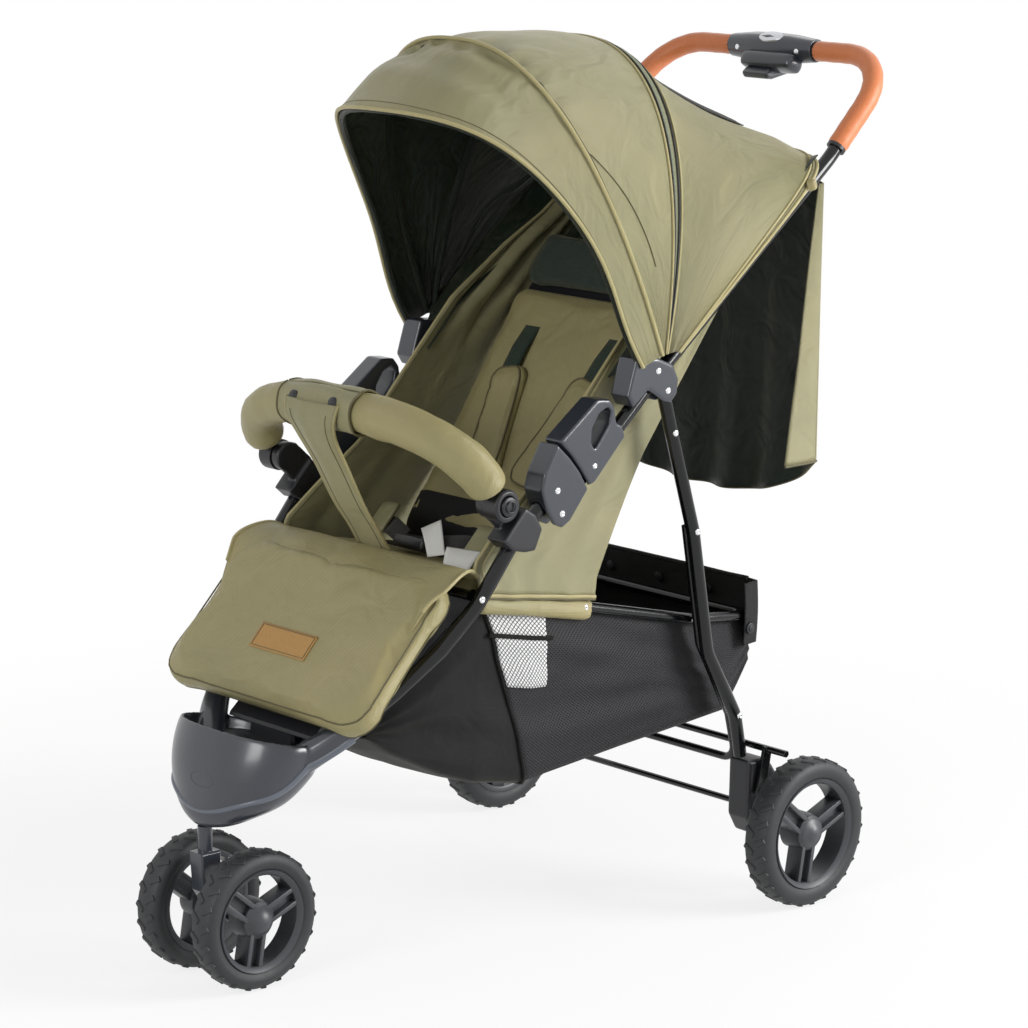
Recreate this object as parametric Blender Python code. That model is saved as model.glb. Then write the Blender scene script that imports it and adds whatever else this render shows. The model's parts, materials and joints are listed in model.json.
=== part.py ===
"""Three-wheel-style pushchair with a folding steel frame, a hooded fabric seat and a net basket.

Metres, +Z up. -Y is the front of the pram, +X is the child's left. The origin is on the floor,
under the middle of the object. Side-view points are written as (y, z).
"""
import math

import bmesh
import bpy
from mathutils import Matrix, Vector

# Clearance that touching pieces keep
GAP = 0.0004

# Wheels: radius, tyre width, bead radius, centre
REAR_R, REAR_WIDTH, REAR_BEAD = 0.093, 0.039, 0.0695
REAR_X, REAR_AXLE = 0.273, (0.267, 0.093)
FRONT_R, FRONT_WIDTH, FRONT_BEAD = 0.082, 0.036, 0.061
FRONT_X, FRONT_AXLE = 0.050, (-0.419, 0.082)
AXLE_R = 0.004
SWIVEL_Y = -0.449

# Planes of the side members, measured from the middle
TUBE_X, RAIL_X, BRACE_X, LEG_X = 0.187, 0.163, 0.175, 0.190
TUBE_R, RAIL_R, BRACE_R, LEG_R, ROD_R = 0.009, 0.0065, 0.005, 0.0085, 0.004
FRONT_BAR_R = 0.006

# Pivots of the fold, in the side view
FOLD = (-0.0853, 0.5255)
LEG_TOP = (0.0895, 0.6511)
RAIL_FRONT = (-0.2024, 0.4472)
RAIL_REAR = (0.1732, 0.3560)
BUMPER = (-0.178, 0.552)
RECLINE = (-0.0200, 0.4260)
BRAKE = (0.2470, 0.1380)
LEVER = (0.492, 0.995)
HOOD = (0.075, 0.685)

# Bumper bar: slope of its plane, half width, nearest and farthest reach from the pivot
BUMPER_SLOPE, BUMPER_HALF, BUMPER_LOW, BUMPER_REACH = 125.6, 0.1958, 0.0142, 0.1122
BUMPER_R, PAD_R = 0.0075, 0.0245

# Handle: the tube bends at the hood bracket and turns across at the top
HANDLE_BEND = (0.0637, 0.6558)
HANDLE_KNEE = (0.3766, 0.9030)
HANDLE_TOP = (0.4826, 1.0205)
HANDLE_HALF = 0.198
GRIP_R = 0.0128
HUB_HALF, GRIP_LENGTH = 0.070, 0.233

# Hood: bow angles up from +Y, and radius of the cloth at the crown, from the hood pivot
MID_ANGLE, MID_CROWN = 112.0, 0.400
ZIP_ANGLE, ZIP_CROWN = 80.0, 0.368
REAR_ANGLE, REAR_CROWN = 38.5, 0.359
VISOR_SIDE, VISOR_FRONT, VISOR_CROWN = 125.0, 132.0, 0.400
BOW_R = 0.0019
HOOD_HALF, HOOD_REAR_HALF, CLOTH = 0.2056, 0.2125, 0.0025

# Seat
SEAT_FRONT, SEAT_BACK = (-0.184, 0.4380), (-0.020, 0.4040)
BACK_ANGLE, BACK_LENGTH = 55.0, 0.430
SEAT_HALF, BASKET_HALF, BACK_HALF = 0.1555, 0.1530, 0.146
LATCH_HALF = 0.0158


def material(name, colour, rough, metal=0.0):
    """A Principled material from an sRGB hex colour."""
    mat = bpy.data.materials.new(name)
    mat.use_nodes = True
    shader = mat.node_tree.nodes["Principled BSDF"]
    channels = [int(colour[i:i + 2], 16) / 255 for i in (0, 2, 4)]
    linear = [c / 12.92 if c <= 0.04045 else ((c + 0.055) / 1.055) ** 2.4 for c in channels]
    shader.inputs["Base Color"].default_value = (*linear, 1.0)
    shader.inputs["Roughness"].default_value = rough
    shader.inputs["Metallic"].default_value = metal
    mat.diffuse_color = (*linear, 1.0)
    return mat


def side_point(point, x=0.0):
    return Vector((x, point[0], point[1]))


def fillet(points, radius, steps=5):
    """A path whose inner corners are arcs of the given radius."""
    pts = [Vector(p) for p in points]
    out = [pts[0]]
    for before, corner, after in zip(pts, pts[1:], pts[2:]):
        a, b = before - corner, after - corner
        turn = math.pi - a.angle(b)
        if turn < 0.03:
            out.append(corner)
            continue
        reach = min(radius * math.tan(turn / 2), 0.48 * a.length, 0.48 * b.length)
        start, end = corner + a.normalized() * reach, corner + b.normalized() * reach
        centre = corner + (a.normalized() + b.normalized()).normalized() * (
            reach / math.tan(turn / 2) / math.cos(turn / 2))
        arm, last = start - centre, end - centre
        axis = arm.cross(last).normalized()
        for i in range(steps + 1):
            out.append(centre + Matrix.Rotation(turn * i / steps, 3, axis) @ arm)
    out.append(pts[-1])
    return out


def superellipse(half_x, half_y, power, count):
    """Points of a rounded rectangle or ellipse, counter-clockwise."""
    out = []
    for i in range(count):
        angle = math.tau * (i + 0.5) / count
        c, s = math.cos(angle), math.sin(angle)
        out.append((math.copysign(abs(c) ** (2 / power), c) * half_x,
                    math.copysign(abs(s) ** (2 / power), s) * half_y))
    return out


def tidy(bm):
    bmesh.ops.remove_doubles(bm, verts=bm.verts, dist=0.00001)
    bmesh.ops.recalc_face_normals(bm, faces=bm.faces)
    return bm


def loft(rings, closed=False):
    """One closed body through rings of equal count. closed joins the last ring to the first."""
    bm = bmesh.new()
    made = [[bm.verts.new(p) for p in ring] for ring in rings]
    pairs = list(zip(made, made[1:])) + ([(made[-1], made[0])] if closed else [])
    for low, high in pairs:
        for i in range(len(low)):
            j = (i + 1) % len(low)
            bm.faces.new((low[i], low[j], high[j], high[i]))
    if not closed:
        bm.faces.new(made[0])
        bm.faces.new(made[-1])
    return tidy(bm)


def ring_frames(path):
    """Square frames (right, up) along a path, turned as little as possible."""
    pts = [Vector(p) for p in path]
    tangents = []
    for i in range(len(pts)):
        before, after = pts[max(i - 1, 0)], pts[min(i + 1, len(pts) - 1)]
        ahead = (after - pts[i]).normalized() if i < len(pts) - 1 else Vector((0, 0, 0))
        behind = (pts[i] - before).normalized() if i > 0 else Vector((0, 0, 0))
        tangents.append((ahead + behind).normalized())
    start = Vector((1, 0, 0)) if abs(tangents[0].x) < 0.9 else Vector((0, 0, 1))
    up = tangents[0].cross(start).normalized()
    frames = []
    for i, tangent in enumerate(tangents):
        if i:
            up = tangents[i - 1].rotation_difference(tangent) @ up
        frames.append((up.cross(tangent).normalized(), up.normalized()))
    return pts, frames


def sweep(path, radius, sides=12):
    """Rings of a round section along a path. radius may be one value or one for each point."""
    pts, frames = ring_frames(path)
    radii = radius if isinstance(radius, (list, tuple)) else [radius] * len(pts)
    rings = []
    for centre, (right, up), r in zip(pts, frames, radii):
        rings.append([centre + right * math.cos(math.tau * k / sides) * r
                      + up * math.sin(math.tau * k / sides) * r for k in range(sides)])
    return rings


def rod(path, radius, sides=12):
    return loft(sweep(path, radius, sides))


def sleeve(path, outer, inner, sides=12):
    """A hollow tube with open ends."""
    return loft(sweep(path, outer, sides) + sweep(path, inner, sides)[::-1], closed=True)


def bore_radius(radius, sides):
    """Radius of a many-sided bore whose flats still clear a round bar."""
    return (radius + GAP) / math.cos(math.pi / sides)


def stretch(path, start, end):
    """The part of a path between two distances along it."""
    out, run = [], 0.0
    for a, b in zip(path, path[1:]):
        step = (b - a).length
        for mark in (start, end):
            if run < mark <= run + step:
                out.append(a.lerp(b, (mark - run) / step))
        if start < run + step < end:
            out.append(b)
        run += step
    return out


def length(path):
    return sum((b - a).length for a, b in zip(path, path[1:]))


def lathe(profile, centre, steps=32):
    """A body turned about the X direction through centre. The profile is (x, radius), closed."""
    bm = bmesh.new()
    verts = [bm.verts.new((centre[0] + x, centre[1], centre[2] + r)) for x, r in profile]
    edges = [bm.edges.new((a, b)) for a, b in zip(verts, verts[1:] + verts[:1])]
    bmesh.ops.spin(bm, geom=verts + edges, cent=centre, axis=(1, 0, 0), dvec=(0, 0, 0),
                   angle=math.tau, steps=steps, use_merge=True)
    bmesh.ops.dissolve_degenerate(bm, dist=0.000001, edges=bm.edges)
    tidy(bm)
    bmesh.ops.delete(bm, geom=[e for e in bm.edges if not e.link_faces], context="EDGES")
    return bm


def prism(outline, x_low, x_high, bevel=0.0):
    """A side-view outline extruded across the object."""
    bm = bmesh.new()
    face = bm.faces.new([bm.verts.new((x_low, y, z)) for y, z in outline])
    top = bmesh.ops.extrude_face_region(bm, geom=[face])
    moved = [v for v in top["geom"] if isinstance(v, bmesh.types.BMVert)]
    bmesh.ops.translate(bm, verts=moved, vec=(x_high - x_low, 0, 0))
    bmesh.ops.recalc_face_normals(bm, faces=bm.faces)
    if bevel:
        rim = [e for e in bm.edges if abs(e.verts[0].co.x - e.verts[1].co.x) < 1e-6]
        bmesh.ops.bevel(bm, geom=rim, offset=bevel, segments=1, profile=0.5,
                        affect="EDGES", clamp_overlap=True)
    return tidy(bm)


def block(low, high, bevel=0.0):
    bm = bmesh.new()
    bmesh.ops.create_cube(bm, size=1.0)
    size = Vector(high) - Vector(low)
    bmesh.ops.scale(bm, vec=size, verts=bm.verts)
    bmesh.ops.translate(bm, vec=(Vector(high) + Vector(low)) / 2, verts=bm.verts)
    if bevel:
        bmesh.ops.bevel(bm, geom=bm.edges[:], offset=bevel, segments=2, profile=0.5,
                        affect="EDGES", clamp_overlap=True)
    return tidy(bm)


def sheet(rows, thickness):
    """A closed cloth from rows of points on its outer face; the thickness goes inwards."""
    count = len(rows[0])

    def normal(i, j):
        up, down = rows[max(i - 1, 0)][j], rows[min(i + 1, len(rows) - 1)][j]
        left, right = rows[i][max(j - 1, 0)], rows[i][min(j + 1, count - 1)]
        return (Vector(right) - Vector(left)).cross(Vector(down) - Vector(up)).normalized()

    bm = bmesh.new()
    outer = [[bm.verts.new(p) for p in row] for row in rows]
    inner = [[bm.verts.new(Vector(rows[i][j]) - normal(i, j) * thickness) for j in range(count)]
             for i in range(len(rows))]
    for i in range(len(rows) - 1):
        for j in range(count - 1):
            for grid in (outer, inner):
                bm.faces.new((grid[i][j], grid[i][j + 1], grid[i + 1][j + 1], grid[i + 1][j]))
    for i in range(len(rows) - 1):
        for j in (0, count - 1):
            bm.faces.new((outer[i][j], outer[i + 1][j], inner[i + 1][j], inner[i][j]))
    for j in range(count - 1):
        for i in (0, len(rows) - 1):
            bm.faces.new((outer[i][j], outer[i][j + 1], inner[i][j + 1], inner[i][j]))
    return tidy(bm)


def cushion(centre, along, across, half_length, half_width, profile, power=5, count=28):
    """A stuffed pad. profile lists (height, inset) from the back face to the crowned face."""
    u, v = Vector(along).normalized(), Vector(across).normalized()
    n = u.cross(v).normalized()
    rings = []
    for height, inset in profile:
        outline = superellipse(half_length - inset, half_width - inset, power, count)
        rings.append([Vector(centre) + u * a + v * b + n * height for a, b in outline])
    return loft(rings)


def combine(base, others, operation):
    """Union or difference of meshes with the exact solver."""
    def temporary(bm):
        mesh = bpy.data.meshes.new("temporary")
        bm.to_mesh(mesh)
        bm.free()
        obj = bpy.data.objects.new("temporary", mesh)
        bpy.context.scene.collection.objects.link(obj)
        return obj

    target = temporary(base)
    tools = [temporary(bm) for bm in others]
    for tool in tools:
        step = target.modifiers.new("step", "BOOLEAN")
        step.operation, step.solver, step.object = operation, "EXACT", tool
    bpy.context.view_layer.update()
    evaluated = target.evaluated_get(bpy.context.evaluated_depsgraph_get())
    out = bmesh.new()
    out.from_mesh(evaluated.to_mesh())
    evaluated.to_mesh_clear()
    for obj in [target] + tools:
        mesh = obj.data
        bpy.data.objects.remove(obj)
        bpy.data.meshes.remove(mesh)
    bmesh.ops.remove_doubles(out, verts=out.verts, dist=0.00002)
    bmesh.ops.dissolve_degenerate(out, dist=0.00002, edges=out.edges)
    return out


def union(base, *others):
    return combine(base, others, "UNION")


def cut(base, *others):
    return combine(base, others, "DIFFERENCE")


BODIES = {}


def body(name, pivot=(0, 0, 0), parent=None):
    """An empty on the joint's axis, which carries the pieces of one moving body."""
    empty = bpy.data.objects.new("pivot_" + name, None)
    bpy.context.scene.collection.objects.link(empty)
    empty.empty_display_size = 0.02
    empty.location = pivot
    if parent:
        empty.parent = BODIES[parent]
        empty.location = Vector(pivot) - Vector(BODIES[parent]["at"])
    empty["at"] = tuple(pivot)
    BODIES[name] = empty


def place(name, bm, mat, body_name, side=1):
    """Turn a mesh in world coordinates into the node's object. side -1 mirrors it to the right."""
    if side < 0:
        bmesh.ops.scale(bm, vec=(-1, 1, 1), verts=bm.verts)
        bmesh.ops.reverse_faces(bm, faces=bm.faces)
    pivot = Vector(BODIES[body_name]["at"])
    bmesh.ops.translate(bm, vec=-pivot, verts=bm.verts)
    mesh = bpy.data.meshes.new(name)
    bm.to_mesh(mesh)
    bm.free()
    mesh.shade_smooth()
    mesh.set_sharp_from_angle(angle=math.radians(35))
    obj = bpy.data.objects.new(name, mesh)
    obj.data.materials.append(mat)
    obj.parent = BODIES[body_name]
    bpy.context.scene.collection.objects.link(obj)


def clear_scene():
    for obj in list(bpy.data.objects):
        bpy.data.objects.remove(obj, do_unlink=True)


def mid(a, b, t):
    return tuple(p + (q - p) * t for p, q in zip(a, b))


# Lines of the main tubes
FRONT_TUBE = [(0.1190, -0.3293, 0.3040), (0.150, -0.293, 0.345), (0.172, -0.246, 0.389),
              (0.1855, -0.2039, 0.4366), (TUBE_X, -0.1898, 0.4544), (TUBE_X, -0.1540, 0.4978),
              (TUBE_X, -0.1059, 0.5383), (TUBE_X, -0.0658, 0.5719)]
LEG_LINE = [LEG_TOP, (0.1048, 0.6002), (0.1456, 0.4735), (0.1745, 0.3200), (0.2275, 0.2306),
            (0.2390, 0.1770)]


def wheel(name, side, centre_x, axle, radius, width, bead, cap, steps):
    """A rim with three double-ribbed spokes and the tyre on it."""
    centre = (centre_x, *axle)
    half = width / 2
    rim_out, rim_in, hub = bead - GAP, bead - 0.007, 0.0235
    barrel = half - 0.0030
    ring = lathe([(-barrel, rim_in), (barrel, rim_in), (barrel, rim_out), (-barrel, rim_out)],
                 centre, steps)
    bore = AXLE_R + 0.0005
    inner_end, bore_end, face = -half + 0.001, half - 0.008, half - 0.003
    profile = [(inner_end, bore), (bore_end, bore), (bore_end, 0), (face + cap, 0),
               (face + cap, 0.009), (face, 0.0145), (face, 0.0185), (0.0, hub), (inner_end, hub)]
    core = lathe(profile, centre, 16)
    spokes = []
    for angle in (50, 170, 290):
        turn = Matrix.Translation(centre) @ Matrix.Rotation(math.radians(angle), 4, "X")
        section = [(-0.010, -0.009), (0.009, -0.009), (0.009, -0.0045), (0.001, -0.0045),
                   (0.001, 0.0045), (0.009, 0.0045), (0.009, 0.009), (-0.010, 0.009)]
        bar = loft([[(x, r, t) for x, t in section] for r in (0.014, rim_in + 0.003)])
        bmesh.ops.transform(bar, matrix=turn, verts=bar.verts)
        spokes.append(bar)
    place(f"{name}_rim_{side[0]}", union(ring, core, *spokes), RIM_PLASTIC,
          f"{name}_wheel_{side[0]}", side[1])
    crown = [(-half, bead + 0.004), (-half + 0.002, bead), (half - 0.002, bead),
             (half, bead + 0.004), (half, radius - 0.010), (half - 0.006, radius - 0.001),
             (0, radius), (-half + 0.006, radius - 0.001), (-half, radius - 0.010)]
    place(f"{name}_tyre_{side[0]}", lathe(crown, centre, steps), TYRE,
          f"{name}_wheel_{side[0]}", side[1])


def nose():
    """Front shell: a bowl that rises from the swivel boss to the rim, with an arm to each tube."""
    stations = [(0.1880, 0.0142, SWIVEL_Y, 0.0142, 2.0), (0.1915, 0.030, -0.4370, 0.020, 2.1),
                (0.2010, 0.049, -0.4287, 0.029, 2.2), (0.2180, 0.076, -0.4110, 0.047, 2.3),
                (0.2430, 0.092, -0.3960, 0.062, 2.4), (0.2620, 0.098, -0.3900, 0.062, 2.4),
                (0.2790, 0.0985, -0.3840, 0.060, 2.4), (0.2880, 0.095, -0.3820, 0.057, 2.4)]
    rings = [[(x, y0 + y, z - rim_slope(z) * y) for x, y in superellipse(a, b, power, 28)]
             for z, a, y0, b, power in stations]
    arms, sockets = [], []
    for side in (1, -1):
        start, ahead = [Vector((side * x, y, z)) for x, y, z in FRONT_TUBE[:2]]
        step = (ahead - start).normalized()
        sockets.append(rod([start - step * GAP, start + step * 0.04], bore_radius(TUBE_R, 16), 16))
        path = [(0.036, -0.412, 0.224), (0.056, -0.394, 0.243), (0.080, -0.374, 0.266),
                (0.102, -0.352, 0.287), (0.1255, -0.3217, 0.3125)]
        path = [(side * x, y, z) for x, y, z in path]
        arms.append(rod(path, [0.0160, 0.0175, 0.0180, 0.0165, 0.0132], 12))
    hollow = [[(x, -0.380 + y, z) for x, y in superellipse(a, b, 2.4, 20)]
              for z, a, b in ((0.262, 0.076, 0.042), (0.275, 0.079, 0.044), (0.320, 0.082, 0.047))]
    return cut(union(loft(rings), *arms), loft(hollow), *sockets)


def rim_slope(z):
    """How much the shell's rings rise towards the front, from level at the boss."""
    return 0.20 * max(0.0, (z - 0.2430) / 0.0450)


def front_frame():
    body("front_frame")
    place("nose_shell", nose(), SHELL_PLASTIC, "front_frame")
    tread = [[(x, -0.380 + y, z) for x, y in superellipse(a, b, 2.4, 20)]
             for z, a, b in ((0.2626, 0.0750, 0.0410), (0.2700, 0.0765, 0.0425))]
    foot = prism([(-0.3540, 0.2645), (-0.3455, 0.2700), (-0.3455, 0.2860), (-0.3510, 0.2860)],
                 -0.036, 0.036)
    ramp = prism([(-0.3520, 0.2838), (-0.3440, 0.2838), (-0.3040, 0.3220), (-0.3070, 0.3255),
                  (-0.3505, 0.2878)], -0.075, 0.075)
    place("footboard", union(loft(tread), foot, ramp), BLACK_PLASTIC, "front_frame")
    for name, side in SIDES:
        place(f"front_tube_{name}", rod(fillet(FRONT_TUBE, 0.05, 2), TUBE_R), STEEL,
              "front_frame", side)
        place(f"lower_latch_{name}", lower_latch(), SHELL_PLASTIC, "front_frame", side)
        place(f"bumper_mount_{name}", bumper_mount(), BLACK_PLASTIC, "front_frame", side)
    across = TUBE_X - TUBE_R - 0.003
    bar = [(-across, *RAIL_FRONT), (across, *RAIL_FRONT)]
    place("seat_front_bar", rod(bar, FRONT_BAR_R), STEEL, "front_frame")


def channel(start, end, x, radius, over=0.03, sides=16):
    """A straight round cutter that runs past both ends."""
    a, b = side_point(start, x), side_point(end, x)
    step = (b - a).normalized() * over
    return rod([a - step, b + step], radius, sides)


def lower_latch():
    """Riveted to the top of the front tube: two cheeks that hold the fold pivot."""
    outline = [(-0.0940, 0.6115), (-0.1140, 0.5783), (-0.1190, 0.5606), (-0.1115, 0.5386),
               (-0.0985, 0.5186), (-0.0845, 0.5126), (-0.0725, 0.5191), (-0.0437, 0.5526),
               (-0.0575, 0.5746), (-0.0725, 0.5918)]
    cheeks = prism(outline, TUBE_X - LATCH_HALF, TUBE_X + LATCH_HALF, 0.0015)
    line = (Vector(FRONT_TUBE[-1]) - Vector(FRONT_TUBE[-2])).normalized()
    down = Vector((0, line.z, -line.y))
    edge = Vector(FRONT_TUBE[-2]) + down * 0.0102
    near, far = edge - line * 0.08, edge + line * 0.12
    slot = prism([(p.y, p.z) for p in (near, far, far + down * 0.08, near + down * 0.08)],
                 TUBE_X - 0.0097, TUBE_X + 0.0097)
    return cut(cheeks, channel(FRONT_TUBE[-2][1:], FRONT_TUBE[-1][1:], TUBE_X,
                               TUBE_R + GAP), slot)


def bumper_mount():
    """Clamp on the front tube with a flat boss that the bumper bar turns on."""
    clamp = [(-0.1775, 0.5096), (-0.1615, 0.5266), (-0.1435, 0.5446), (-0.1275, 0.5346),
             (-0.1165, 0.5166), (-0.1275, 0.4926), (-0.1435, 0.4926), (-0.1635, 0.4976)]
    boss = lathe([(0.0, 0.0), (0.0135, 0.0), (0.0135, 0.0178), (0.0, 0.0178)],
                 (TUBE_X - 0.014, *BUMPER), 20)
    web = prism([(-0.194, 0.545), (-0.166, 0.568), (-0.140, 0.545), (-0.160, 0.515)],
                TUBE_X - 0.012, TUBE_X - 0.002)
    tube = rod([FRONT_TUBE[4], FRONT_TUBE[5], FRONT_TUBE[6], FRONT_TUBE[7]], TUBE_R + GAP, 16)
    return cut(union(prism(clamp, TUBE_X - 0.015, TUBE_X + 0.016, 0.0015), boss, web), tube)


def leg_rest():
    """Calf rest: a board with hinge ears on the bar in front of the seat, and its cushion."""
    body("leg_rest", side_point(RAIL_FRONT), "front_frame")
    down, out = Vector((0, -0.680, -0.733)), Vector((0, -0.733, 0.680))
    hinge = side_point(RAIL_FRONT)
    plate = cushion(hinge + down * 0.088 + out * 0.0080, down, (1, 0, 0), 0.082, 0.105,
                    [(-0.0025, 0), (0.0025, 0)], 8, 20)
    ears = [sleeve([hinge + Vector((x, 0, 0)), hinge + Vector((x + 0.024, 0, 0))], 0.0110,
                   bore_radius(FRONT_BAR_R, 12)) for x in (-0.084, 0.060)]
    place("leg_rest_board", union(plate, *ears), BLACK_PLASTIC, "leg_rest")
    pad = cushion(hinge + down * 0.108 + out * 0.0260, down, (1, 0, 0), 0.111, 0.187,
                  [(-0.0145, 0.026), (-0.009, 0.007), (0.001, 0.0), (0.010, 0.003),
                   (0.0170, 0.011), (0.0195, 0.030)], 6, 32)
    place("leg_rest_cushion", pad, OLIVE_CLOTH, "leg_rest")


def bumper_path():
    """The bar's arch in its own sloping plane, from one knuckle to the other."""
    slope, power, count, first = math.radians(BUMPER_SLOPE), 2 / 2.48, 20, 0.006
    along = Vector((0, math.cos(slope), math.sin(slope)))
    out = []
    for i in range(count + 1):
        u = first + (math.pi - 2 * first) * i / count
        across = math.copysign(abs(math.cos(u)) ** power, math.cos(u)) * BUMPER_HALF
        reach = BUMPER_LOW + (BUMPER_REACH - BUMPER_LOW) * math.sin(u) ** power
        out.append(side_point(BUMPER) + along * reach + Vector((across, 0, 0)))
    return out


def bumper():
    body("bumper", side_point(BUMPER), "front_frame")
    knuckles = []
    for side in (1, -1):
        turned = lathe([(0, 0), (0.012, 0), (0.012, 0.0125), (0.023, 0.0125), (0.023, 0.0165),
                        (0.0205, 0.0190), (0, 0.0190)], (TUBE_X, *BUMPER), 24)
        if side < 0:
            bmesh.ops.scale(turned, vec=(-1, 1, 1), verts=turned.verts)
            bmesh.ops.reverse_faces(turned, faces=turned.faces)
        knuckles.append(turned)
    bar = bumper_path()
    place("bumper_bar", union(rod(bar, BUMPER_R, 8), *knuckles), BLACK_PLASTIC, "bumper")
    path = stretch(bar, 0.010, length(bar) - 0.010)
    outer = [PAD_R - 0.004 * (i in (0, len(path) - 1)) for i in range(len(path))]
    place("bumper_pad", sleeve(path, outer, bore_radius(BUMPER_R, 12), 12), OLIVE_CLOTH, "bumper")
    front = path[len(path) // 2]
    strap = [((-0.022, front.y - 0.006, front.z - PAD_R - 0.0035), 0.034),
             ((-0.016, -0.2460, 0.5800), 0.031), ((-0.008, -0.2270, 0.5300), 0.028),
             ((0, -0.1960, 0.4760), 0.026)]
    rows = [[Vector(p) + Vector((x * half, 0, 0)) for x in (-1, 0, 1)] for p, half in strap]
    place("crotch_strap", sheet(rows, 0.003), OLIVE_CLOTH, "bumper")
    for name, side in SIDES:
        body(f"bumper_button_{name}", side_point(BUMPER, (TUBE_X + 0.026) * side), "bumper")
        knob = lathe([(0, 0), (0.0090, 0), (0.0100, 0.0090), (0.0090, 0.0115), (0, 0.0115)],
                     (TUBE_X + 0.0165, *BUMPER), 20)
        place(f"bumper_button_{name}", knob, BLACK_PLASTIC, f"bumper_button_{name}", side)


def front_wheels():
    body("front_fork", (0, SWIVEL_Y, 0.1875), "front_frame")
    stem = rod([(0, SWIVEL_Y, 0.1874), (0, SWIVEL_Y, 0.140)], 0.0085, 14)
    outline = [(-0.4635, 0.158), (-0.4350, 0.158), (-0.4340, 0.124), (-0.4130, 0.098),
               (-0.4080, 0.082), (-0.4130, 0.071), (-0.4260, 0.070), (-0.4420, 0.084),
               (-0.4600, 0.112)]
    housing = prism(outline, -0.0120, 0.0120, 0.002)
    spacer = rod([(-0.0305, *FRONT_AXLE), (0.0305, *FRONT_AXLE)], 0.0085, 14)
    hole = rod([(-0.04, *FRONT_AXLE), (0.04, *FRONT_AXLE)], AXLE_R + GAP, 12)
    place("front_fork", cut(union(stem, housing, spacer), hole), SHELL_PLASTIC, "front_fork")
    end = FRONT_X + FRONT_WIDTH / 2 - 0.0085
    place("front_axle", rod([(-end, *FRONT_AXLE), (end, *FRONT_AXLE)], AXLE_R, 12), STEEL,
          "front_fork")
    for side in SIDES:
        body(f"front_wheel_{side[0]}", (side[1] * FRONT_X, *FRONT_AXLE), "front_fork")
        wheel("front", side, FRONT_X, FRONT_AXLE, FRONT_R, FRONT_WIDTH, FRONT_BEAD, 0.004, 24)


def upper_frame():
    body("upper_frame", side_point(FOLD), "front_frame")
    half = [(TUBE_X, *FOLD), (TUBE_X, *HANDLE_BEND), (TUBE_X, *HANDLE_KNEE),
            (HANDLE_HALF, *HANDLE_TOP)]
    whole = fillet(half + [(-x, y, z) for x, y, z in half[::-1]], 0.085, 6)
    place("handle_tube", rod(whole, TUBE_R), STEEL, "upper_frame")
    middle = length(whole) / 2
    grip = stretch(whole, middle - HUB_HALF - GRIP_LENGTH, middle - HUB_HALF - 0.001)
    hub = hub_shell()
    for name, side in SIDES:
        place(f"handle_grip_{name}", sleeve(grip, GRIP_R, bore_radius(TUBE_R, 12)), GRIP, "upper_frame",
              side)
        place(f"canopy_bracket_{name}", canopy_bracket(), SHELL_PLASTIC, "upper_frame", side)
    place("handle_hub", hub, SHELL_PLASTIC, "upper_frame")


def hub_shell():
    """Release housing in the middle of the handle, wider at its middle and bored for the tube."""
    stations = [(-HUB_HALF, 0.0145, 0.0145), (-0.055, 0.0165, 0.0160), (-0.032, 0.0200, 0.0185),
                (0.0, 0.0225, 0.0195), (0.032, 0.0200, 0.0185), (0.055, 0.0165, 0.0160),
                (HUB_HALF, 0.0145, 0.0145)]
    y0, z0 = HANDLE_TOP
    rings = [[(x, y0 + y, z0 + z) for y, z in superellipse(a, b, 2.3, 18)]
             for x, a, b in stations]
    bore = rod([(-0.09, *HANDLE_TOP), (0.09, *HANDLE_TOP)], bore_radius(TUBE_R, 16), 16)
    return cut(loft(rings), bore)


def canopy_bracket():
    """Clevis on the handle tube that carries the rear leg and the hood bows."""
    outline = [(0.0332, 0.6964), (0.0692, 0.6929), (0.0942, 0.6824), (0.1037, 0.6644),
               (0.1017, 0.6464), (0.0912, 0.6369), (0.0772, 0.6404), (0.0532, 0.6564),
               (0.0282, 0.6384), (0.0192, 0.6524)]
    shape = prism(outline, TUBE_X - 0.0155, TUBE_X + 0.0155, 0.0015)
    tube = rod([side_point(mid(FOLD, HANDLE_BEND, 0.3), TUBE_X), side_point(HANDLE_BEND, TUBE_X),
                side_point(mid(HANDLE_BEND, HANDLE_KNEE, 0.4), TUBE_X)], TUBE_R + GAP, 16)
    slope = Vector((0, HANDLE_BEND[0] - FOLD[0], HANDLE_BEND[1] - FOLD[1])).normalized()
    down = Vector((0, slope.z, -slope.y))
    start = side_point(HANDLE_BEND)
    corners = [start - slope * 0.02, start + slope * 0.08, start + slope * 0.08 + down * 0.08,
               start - slope * 0.02 + down * 0.08]
    slot = prism([(p.y, p.z) for p in corners], LEG_X - 0.0095, LEG_X + 0.0092)
    return cut(shape, tube, slot)


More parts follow.
